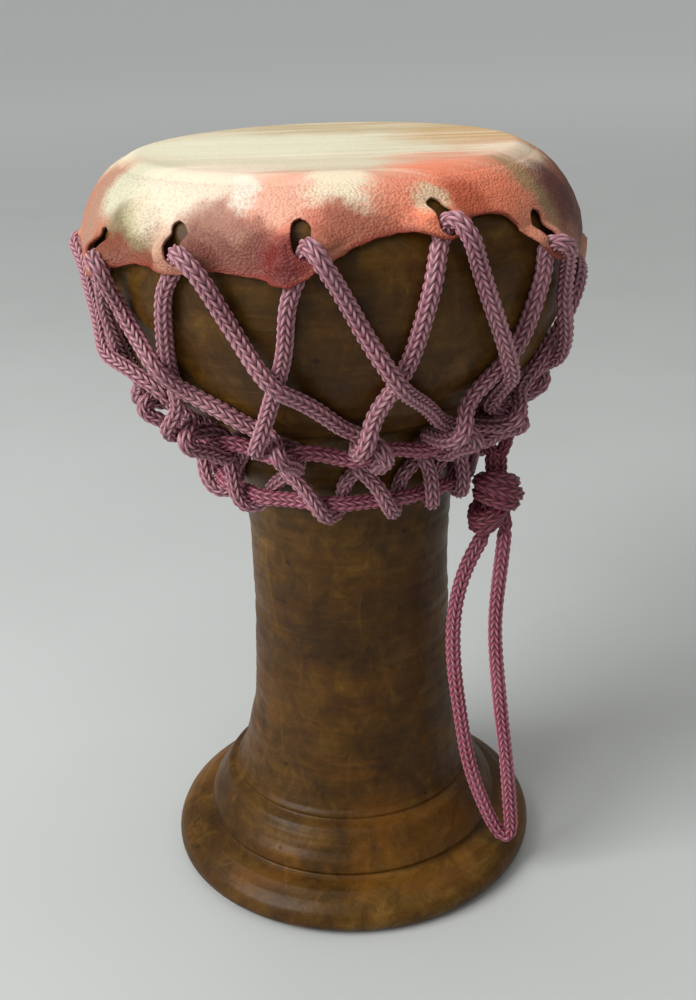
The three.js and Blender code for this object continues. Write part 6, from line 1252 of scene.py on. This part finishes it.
def skin_material():
    m, nt, bsdf = new_material("dyed_goatskin")
    k = Net(nt)
    P = k.vec('SCALE', k.obj, scale=1000.0)                 # millimetres
    warp = k.noise(k.mapping(k.obj, (1, 1, 1)), 60, 4, 0.6, color=True)
    warp = k.vec('SCALE', k.vec('SUBTRACT', warp, (0.5, 0.5, 0.5)), scale=16.0)
    grain = k.voronoi(k.mapping(k.obj, (1, 1, 1.35)), 1150, 'F1')
    grain2 = k.noise(k.obj, 620, 3, 0.6)
    speck = k.math('SUBTRACT', k.math('ADD', k.math('MULTIPLY', grain, 0.9), k.math('MULTIPLY', grain2, 0.6)), 0.72)
    Pw = k.vec('ADD', P, warp)
    col = None

    def blob(color, centre, radius, soft=0.55, squash=(1, 1, 1), strength=1.0, grainy=0.22):
        nonlocal col
        d = k.vec('MULTIPLY', k.vec('SUBTRACT', Pw, tuple(centre)), tuple(1.0 / (radius * s) for s in squash))
        d = k.vec('LENGTH', d)
        d = k.math('ADD', d, k.math('MULTIPLY', speck, grainy))
        f = k.math('MULTIPLY', k.range(d, 1.0 + soft / 2, 1.0 - soft / 2), strength)
        col = k.mix(f, col, color)

    base = k.noise(k.obj, 14, 3, 0.5)
    col = k.mix(k.range(base, 0.35, 0.65), lin(206, 158, 128), lin(186, 118, 92))
    blob(lin(217, 206, 176), (-5, 0, 251), 58, 0.5, (1.05, 1.05, 0.16), 0.95, 0.05)
    # painted highlight: a paler cream patch over the left of the playing face, towards the key light
    blob(lin(227, 223, 196), (-24.5, 2.8, 249.0), 26, 0.9, (1.6, 1.0, 0.5), 0.7, 0.05)
    blob(lin(199, 158, 104), (44, 18, 250), 22, 0.9, (1, 1.2, 0.5), 0.9, 0.05)
    blob(lin(208, 156, 116), (52, -14, 250), 16, 0.9, (1, 1, 0.5), 0.7, 0.05)
    blob(lin(222, 138, 108), (34.3, -33.8, 249.0), 11, 0.9, (1.7, 1, 0.6), 0.75, 0.1)
    blob(lin(190, 166, 124), (6, 44, 250), 22, 1.0, (1.8, 0.8, 0.5), 0.8, 0.05)
    blob(lin(236, 216, 190), (55.9, -20.8, 249.3), 14, 0.9, (1, 1, 0.6), 0.6, 0.05)
    blob(lin(172, 128, 106), (-68.3, -27.1, 238.8), 11, 0.7, (1, 1, 1.2), 0.95, 0.22)
    blob(lin(202, 198, 170), (-54.4, -40.1, 245.8), 15, 0.6, (1, 1, 0.8), 0.95, 0.22)
    blob(lin(122, 104, 70), (-56.0, -50.3, 235.0), 13, 0.7, (1, 1, 0.62), 0.95, 0.22)
    blob(lin(184, 176, 138), (-52.2, -50.5, 239.9), 8, 0.8, (1, 1, 0.6), 0.7, 0.22)
    blob(lin(122, 58, 34), (-56.6, -52.7, 228.1), 13, 0.6, (1.4, 1.4, 0.4), 0.95, 0.22)
    blob(lin(232, 211, 188), (-33.2, -57.0, 246.7), 19, 0.7, (1.2, 1.2, 0.72), 0.95, 0.22)
    blob(lin(214, 124, 100), (-12.0, -69.7, 241.9), 16, 0.7, (1, 1, 1.1), 0.95, 0.22)
    blob(lin(238, 188, 162), (-15.0, -64.7, 246.3), 9, 0.8, (1.2, 1.2, 0.6), 0.6, 0.22)
    blob(lin(112, 52, 38), (-27.6, -70.5, 233.2), 14.5, 0.7, (1.2, 1.2, 0.68), 0.95, 0.4)
    blob(lin(176, 124, 102), (-30.6, -65.7, 239.7), 8, 0.8, (1.3, 1.3, 0.55), 0.6, 0.4)
    blob(lin(228, 216, 198), (-22.8, -61.3, 247.0), 6, 0.7, (0.8, 0.8, 1.2), 0.9, 0.22)
    blob(lin(108, 18, 8), (-10.3, -76.3, 229.4), 9.5, 0.7, (1, 1, 0.95), 0.98, 0.35)
    blob(lin(96, 16, 8), (-10.7, -76.7, 226.4), 5.0, 0.7, (1, 1, 0.9), 0.98, 0.35)
    blob(lin(236, 220, 190), (3.6, -64.0, 247.6), 8.4, 0.6, (1.3, 1, 0.62), 0.88, 0.22)
    blob(lin(152, 82, 60), (10.2, -72.5, 238.0), 11, 0.7, (1.6, 1.2, 0.6), 0.9, 0.4)
    blob(lin(238, 130, 94), (35.4, -57.8, 244.5), 19, 0.6, (1.2, 1.0, 0.9), 0.9, 0.35)
    blob(lin(174, 72, 40), (36.8, -59.6, 242.1), 9, 0.7, (1, 1, 1), 0.75, 0.4)
    blob(lin(222, 136, 108), (19.9, -62.1, 246.7), 8, 0.8, (1.2, 1, 0.8), 0.7, 0.3)
    blob(lin(216, 186, 152), (25.9, -63.4, 243.9), 6.0, 0.6, (1, 1, 1), 0.9, 0.3)
    blob(lin(172, 134, 92), (50.2, -35.5, 248.7), 5.5, 0.8, (1, 1, 1), 0.75, 0.35)
    blob(lin(172, 134, 92), (53.1, -39.2, 245.8), 5.0, 0.8, (1, 1, 1), 0.75, 0.35)
    blob(lin(172, 134, 92), (56.2, -41.8, 241.7), 5.0, 0.8, (1, 1, 1), 0.75, 0.35)
    blob(lin(172, 134, 92), (58.9, -42.9, 237.7), 4.6, 0.8, (1, 1, 1), 0.75, 0.35)
    blob(lin(172, 134, 92), (61.6, -42.8, 233.7), 4.0, 0.8, (1, 1, 1), 0.75, 0.35)
    blob(lin(122, 104, 68), (58.9, -43.5, 237.2), 4.5, 0.8, (1, 1, 1), 0.6, 0.3)
    blob(lin(92, 32, 22), (65.1, -30.7, 239.1), 10, 0.7, (1, 1.2, 1.5), 0.9, 0.35)
    blob(lin(84, 26, 18), (74, -8, 232), 22, 0.7, (1, 1.2, 0.7), 0.85, 0.35)
    blob(lin(150, 76, 50), (66.1, -16.2, 243.7), 8, 0.8, (1, 1, 0.6), 0.6, 0.22)
    blob(lin(190, 118, 90), (62, 40, 238), 20, 0.6, (1, 1, 0.7), 0.9, 0.3)
    blob(lin(236, 220, 186), (30, 66, 241), 18, 0.6, (1, 1, 0.6), 0.9, 0.3)
    blob(lin(150, 92, 72), (6, 74, 232), 17, 0.7, (1, 1, 0.7), 0.9, 0.35)
    blob(lin(206, 140, 112), (-26, 68, 240), 18, 0.6, (1, 1, 0.8), 0.9, 0.3)
    blob(lin(176, 156, 112), (-52, 54, 234), 14, 0.7, (1, 1, 0.6), 0.9, 0.3)
    blob(lin(238, 226, 196), (-62, 34, 243), 15, 0.6, (1, 1, 0.6), 0.9, 0.3)
    blob(lin(140, 80, 60), (-70, 26, 228), 14, 0.7, (1, 1, 0.5), 0.9, 0.35)
    # long hair streaks across the playing face
    streak = k.noise(k.mapping(k.obj, (9, 130, 40), rotation=(0, 0, 0.10)), 1.0, 5, 0.65, 0.6)
    streak2 = k.noise(k.mapping(k.obj, (18, 420, 60), rotation=(0, 0, 0.06)), 1.0, 4, 0.6, 0.3)
    z = k.nt.nodes.new("ShaderNodeSeparateXYZ")
    k.put(z.inputs[0], P)
    on_top = k.range(z.outputs[2], 246.5, 249.6)
    streaks = k.math('MULTIPLY', k.math('ADD', k.range(streak, 0.45, 0.75), k.math('MULTIPLY', k.range(streak2, 0.5, 0.8), 0.5)), k.math('MULTIPLY', on_top, 0.55))
    col = k.mix(streaks, col, lin(250, 240, 214))
    dark_streak = k.math('MULTIPLY', k.range(k.noise(k.mapping(k.obj, (14, 210, 60), rotation=(0, 0, 0.13)), 1.0, 4, 0.6), 0.62, 0.8), k.math('MULTIPLY', on_top, 0.62))
    col = k.mix(dark_streak, col, lin(176, 140, 98))
    # pebble grain: the dye sits in the creases
    side = k.math('SUBTRACT', 1.0, k.math('MULTIPLY', on_top, 0.75))
    crease = k.math('MULTIPLY', k.range(speck, -0.05, 0.35), k.math('MULTIPLY', side, 0.30))
    col = k.mix(crease, col, k.mix(0.55, col, lin(88, 40, 26), 'MULTIPLY'), 'MIX')
    fine = k.noise(k.obj, 260, 4, 0.7)
    col = k.mix(k.math('MULTIPLY', k.range(fine, 0.55, 0.8), 0.13), col, lin(244, 214, 178))
    # small hair pits and scuffs
    pit = k.range(k.voronoi(k.obj, 95, 'F1'), 0.035, 0.02)
    col = k.mix(k.math('MULTIPLY', pit, 0.5), col, lin(90, 60, 40))
    # the cut edge: a dark red band along the rolled lower edge, and painted shade along the slot edges
    hem = nt.nodes.new("ShaderNodeAttribute")
    hem.attribute_name = "hem"
    col = k.mix(k.math('MULTIPLY', hem.outputs["Fac"], 0.80), col, lin(126, 40, 22))
    nt.links.new(col, bsdf.inputs["Base Color"])
    rough = k.range(grain2, 0.3, 0.7, 0.48, 0.66)
    nt.links.new(rough, bsdf.inputs["Roughness"])
    bsdf.inputs["Specular IOR Level"].default_value = 0.38
    bsdf.inputs["Subsurface Weight"].default_value = 0.06
    bsdf.inputs["Subsurface Radius"].default_value = (0.003, 0.0015, 0.0008)
    hgt = k.math('MULTIPLY', k.math('SUBTRACT', 1.0, grain), side)
    n1 = k.bump(hgt, 0.62, 0.00045)
    n2 = k.bump(fine, 0.22, 0.0006, n1)
    wrinkle = k.noise(k.mapping(k.obj, (210, 210, 620), rotation=(0.25, 0.1, 0)), 1.0, 5, 0.62, 0.8)
    n2 = k.bump(k.math('MULTIPLY', wrinkle, side), 0.40, 0.0007, n2)
    nt.links.new(n2, bsdf.inputs["Normal"])
    return m


skin.data.materials.append(skin_material())
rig.ride(skin, "drum")
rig.replaces(skin, "goatskin_head")
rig.slot(skin, "goatskin")
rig.sheet(skin, flat=(0.210, 0.210), held="stretched", rests_on=["clay_body"], area=0.0281)

# ---------------------------------------------------------------- clay shell
def build_shell():
    seg = 216
    # dense outer profile: smoothed through the measured points, lips kept crisp
    s = np.r_[0, np.cumsum(np.hypot(np.diff(SHELL[:, 0]), np.diff(SHELL[:, 1])))]
    fine = [np.arange(np.interp(z0, SHELL[:, 0], s), np.interp(z1, SHELL[:, 0], s), 0.32) for z0, z1 in ((10.5, 17.5), (26.0, 35.0))]
    ss = np.unique(np.concatenate([np.linspace(0, s[-1], 320), s] + fine))
    z = np.interp(ss, s, SHELL[:, 0])
    r = np.interp(ss, s, SHELL[:, 1])
    for _ in range(3):
        z[1:-1] = 0.5 * z[1:-1] + 0.25 * (z[:-2] + z[2:])
        r[1:-1] = 0.5 * r[1:-1] + 0.25 * (r[:-2] + r[2:])
    si = np.r_[0, np.cumsum(np.hypot(np.diff(SHELL_INNER[:, 0]), np.diff(SHELL_INNER[:, 1])))]
    s2 = np.linspace(0, si[-1], 90)
    zi = np.interp(s2, si, SHELL_INNER[:, 0])
    ri = np.interp(s2, si, SHELL_INNER[:, 1])
    for _ in range(4):
        zi[1:-1] = 0.5 * zi[1:-1] + 0.25 * (zi[:-2] + zi[2:])
        ri[1:-1] = 0.5 * ri[1:-1] + 0.25 * (ri[:-2] + ri[2:])
    Z = np.r_[z, zi]
    R = np.r_[r, ri]
    outer = np.r_[np.ones(len(z)), np.zeros(len(zi))]
    th = np.arange(seg) / seg * 2 * math.pi
    THg, Zg = np.meshgrid(th, Z)
    Rg = np.repeat(R[:, None], seg, 1)
    og = np.repeat(outer[:, None], seg, 1)
    a = THg / (2 * math.pi)
    # throwing rings that climb slowly, and slow hand-made unevenness
    climb = Zg + 2.2 * a
    rings = 0.16 * value_noise(a * 3, climb / 2.6, 31, 3) + 0.10 * value_noise(a * 5, climb / 1.1, 32, 5)
    slow = 0.35 * value_noise(a * 4, Zg / 26, 33, 4) + 0.14 * value_noise(a * 11, Zg / 9, 34, 11)
    calm = np.clip((Zg - 1.0) / 4, 0, 1) * np.clip((247.5 - Zg) / 4, 0, 1)
    # tool grooves round the stem and the foot
    groove = np.zeros_like(Zg)
    for zc, depth, wd in ((63.0, 0.16, 0.7), (98.5, 0.14, 0.5), (127.0, 0.18, 0.6), (188.3, 0.14, 0.6), (195.5, 0.10, 0.8)):
        groove += depth * np.exp(-((Zg - zc - 0.4 * np.sin(THg * 1 + zc)) / wd) ** 2)
    for zc, depth, wd in ((30.1, 0.9, 0.8), (14.6, 0.7, 0.7)):
        groove += depth * np.exp(-((Zg - zc) / wd) ** 2)
    for zc, rise, wd, below in ((28.3, 0.8, 0.8, 3.2), (12.9, 0.35, 0.7, 0.9)):
        groove -= rise * np.exp(-((Zg - zc) / np.where(Zg > zc, wd, below)) ** 2)
    # flakes and dents where the varnish and slip have lifted
    r2 = np.random.default_rng(12)
    dents = np.zeros_like(Zg)
    for _ in range(70):
        t0, z0 = r2.random() * 2 * math.pi, r2.uniform(12, 240)
        w1, w2, d = r2.uniform(0.6, 3.2), r2.uniform(0.5, 2.0), r2.uniform(0.05, 0.22)
        dt = np.abs((THg - t0 + math.pi) % (2 * math.pi) - math.pi) * Rg
        dents += d * np.exp(-((dt / w1) ** 2 + ((Zg - z0) / w2) ** 2) ** 1.5)
    Rg = Rg + og * calm * (rings + slow * 0.6) - og * (groove + dents) * calm
    X = Rg * np.sin(THg) + drift(Zg)
    Y = -Rg * np.cos(THg)
    V = np.stack([X, Y, Zg], -1).reshape(-1, 3)
    n = len(Z)
    F = rows_faces(n, seg, close_n=True)
    return V, F


CV, CF = build_shell()
p0, p1, p2, p3 = (CV[CF[216 * 150, i]] for i in range(4))
if np.cross(p2 - p0, p3 - p1) @ (p0 * [1, 1, 0]) < 0:
    CF = CF[:, ::-1].copy()
shell = make_mesh("clay_shell", CV * MM, [CF])


def clay_material():
    m, nt, bsdf = new_material("varnished_clay")
    k = Net(nt)
    sep = nt.nodes.new("ShaderNodeSeparateXYZ")
    k.put(sep.inputs[0], k.obj)
    big = k.noise(k.obj, 13, 4, 0.55, 0.4)
    streaky = k.noise(k.mapping(k.obj, (9, 9, 190)), 1.0, 6, 0.66, 0.3)
    streaky2 = k.noise(k.mapping(k.obj, (28, 28, 900)), 1.0, 4, 0.6, 0.2)
    mott = k.noise(k.obj, 110, 6, 0.7, 0.6)
    t = k.math('ADD', k.math('MULTIPLY', big, 0.42), k.math('ADD', k.math('MULTIPLY', streaky, 0.13),
                                                            k.math('ADD', k.math('MULTIPLY', streaky2, 0.06), k.math('MULTIPLY', mott, 0.39))))
    col = k.ramp(t, [(0.38, lin(46, 27, 4)), (0.48, lin(68, 43, 8)), (0.55, lin(88, 59, 14)), (0.66, lin(126, 92, 38))])
    # orange-brown glow where the varnish pooled, strongest towards the foot
    low = k.range(sep.outputs[2], 0.13, 0.0)
    wash = k.noise(k.mapping(k.obj, (24, 24, 30)), 1.0, 5, 0.65, 0.8)
    glow = k.math('MULTIPLY', k.range(wash, 0.44, 0.68), k.math('ADD', 0.18, k.math('MULTIPLY', low, 0.42)))
    col = k.mix(glow, col, lin(112, 66, 12))
    # thin varnish: paler drag marks
    drag = k.noise(k.mapping(k.obj, (16, 16, 520), rotation=(0.02, 0.03, 0)), 1.0, 6, 0.72, 0.4)
    col = k.mix(k.math('MULTIPLY', k.range(drag, 0.58, 0.74), 0.16), col, lin(130, 98, 52))
    # dark hairline scratches, chips and specks
    scratch = k.noise(k.mapping(k.obj, (34, 34, 1300), rotation=(0.08, 0.05, 0)), 1.0, 3, 0.6)
    col = k.mix(k.math('MULTIPLY', k.range(scratch, 0.66, 0.74), 0.35), col, lin(30, 18, 8))
    # brush and wipe marks running down and across the body, and dark smudges
    wipe = k.noise(k.mapping(k.obj, (120, 120, 26), rotation=(0.5, 0.35, 0)), 1.0, 6, 0.68, 1.0)
    col = k.mix(k.math('MULTIPLY', k.range(wipe, 0.54, 0.72), 0.30), col, lin(124, 86, 34))
    smudge = k.noise(k.mapping(k.obj, (30, 30, 22)), 1.0, 5, 0.6, 1.6)
    col = k.mix(k.math('MULTIPLY', k.range(smudge, 0.56, 0.70), 0.45), col, lin(44, 26, 8))
    chip = k.noise(k.obj, 54, 5, 0.62, 1.2)
    chips = k.range(chip, 0.70, 0.735)
    col = k.mix(k.math('MULTIPLY', chips, 0.5), col, lin(40, 26, 14))
    spots = k.range(k.voronoi(k.obj, 70, 'F1'), 0.070, 0.045)
    col = k.mix(k.math('MULTIPLY', spots, 0.6), col, lin(26, 16, 8))
    nt.links.new(col, bsdf.inputs["Base Color"])
    rough = k.range(k.noise(k.mapping(k.obj, (40, 40, 220)), 1.0, 5, 0.66), 0.3, 0.72, 0.36, 0.62)
    nt.links.new(rough, bsdf.inputs["Roughness"])
    bsdf.inputs["Coat Weight"].default_value = 0.12
    bsdf.inputs["Coat Roughness"].default_value = 0.27
    bsdf.inputs["Specular IOR Level"].default_value = 0.13
    h1 = k.noise(k.mapping(k.obj, (34, 34, 760)), 1.0, 5, 0.66)
    h2 = k.noise(k.obj, 210, 6, 0.70)
    nrm = k.bump(h1, 0.26, 0.0005)
    nrm = k.bump(h2, 0.42, 0.0009, nrm)
    nrm = k.bump(wipe, 0.30, 0.0009, nrm)
    nrm = k.bump(k.math('SUBTRACT', 1.0, chips), 0.6, 0.0007, nrm)
    nrm = k.bump(k.math('SUBTRACT', 1.0, spots), 0.5, 0.0006, nrm)
    nt.links.new(nrm, bsdf.inputs["Normal"])
    return m


shell.data.materials.append(clay_material())
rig.ride(shell, "drum")
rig.replaces(shell, "clay_body")
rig.slot(shell, "fired_clay")

# ---------------------------------------------------------------- floor and light
def floor_mesh():
    n = 40
    x = np.sign(np.linspace(-1, 1, n)) * np.abs(np.linspace(-1, 1, n)) ** 3 * 40
    Xg, Yg = np.meshgrid(x, x)
    Zg = np.zeros_like(Xg) - 0.0004
    V = np.stack([Xg, Yg, Zg], -1).reshape(-1, 3)
    return make_mesh("studio_floor", V, [rows_faces(n, n, close_m=False)[:, ::-1]])


floor = floor_mesh()
fm, fnt, fb = new_material("floor_paper")
kf = Net(fnt)
# painted light: the floor is dim near the drum and pales with distance, so the far floor reads as a brightly lit
# backdrop
far = kf.range(kf.vec('LENGTH', kf.obj), 0.6, 3.0)
fnt.links.new(kf.mix(far, kf.ramp(kf.noise(kf.obj, 6, 3, 0.5), [(0.2, (0.50, 0.51, 0.50)), (0.8, (0.55, 0.56, 0.55))]), (0.84, 0.86, 0.85)), fb.inputs["Base Color"])
fb.inputs["Roughness"].default_value = 0.5
floor.data.materials.append(fm)
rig.stage(floor)

bpy.context.scene.view_settings.view_transform = 'Standard'
world = bpy.data.worlds.new("studio")
bpy.context.scene.world = world
world.use_nodes = True
wnt = world.node_tree
w_at = wnt.nodes.new("ShaderNodeTexCoord")
w_xyz = wnt.nodes.new("ShaderNodeSeparateXYZ")
wnt.links.new(w_at.outputs["Generated"], w_xyz.inputs[0])
w_ramp = wnt.nodes.new("ShaderNodeValToRGB")
stops = [(0.0, 0.16), (0.15, 0.17), (0.6, 0.36), (1.0, 0.78)]     # soft overhead light, dimmer towards the horizon
while len(w_ramp.color_ramp.elements) < len(stops):
    w_ramp.color_ramp.elements.new(0.5)
for el, (at, v) in zip(w_ramp.color_ramp.elements, stops):
    el.position = at
    el.color = (v, v * 1.01, v, 1)
wnt.links.new(w_xyz.outputs[2], w_ramp.inputs[0])
wnt.links.new(w_ramp.outputs[0], wnt.nodes["Background"].inputs[0])
wnt.nodes["Background"].inputs[1].default_value = 1.0


def area_light(name, loc, target, size, power, color=(1, 1, 1), size_y=None):
    d = bpy.data.lights.new(name, 'AREA')
    d.energy = power
    d.color = color
    d.shape = 'RECTANGLE'
    d.size = size
    d.size_y = size_y or size
    o = bpy.data.objects.new(name, d)
    bpy.context.scene.collection.objects.link(o)
    o.location = loc
    o.rotation_euler = (Vector(target) - Vector(loc)).to_track_quat('-Z', 'Y').to_euler()
    return o


area_light("key", (-1.05, -0.60, 1.0), (0, 0, 0.13), 0.9, 25, (0.98, 1, 0.995))
area_light("fill", (0.35, -1.4, 0.6), (0, 0, 0.14), 0.9, 0.3, (0.95, 1, 1))
area_light("top", (-0.15, 0.25, 1.3), (0, 0, 0.2), 0.7, 1.5, (1, 1, 0.98))

with open("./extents.json", "w") as fh:
    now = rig.bounds()
    json.dump({"cad": [list(map(float, p)) for p in CAD_BOX], "visual": [list(map(float, p)) for p in now]}, fh)
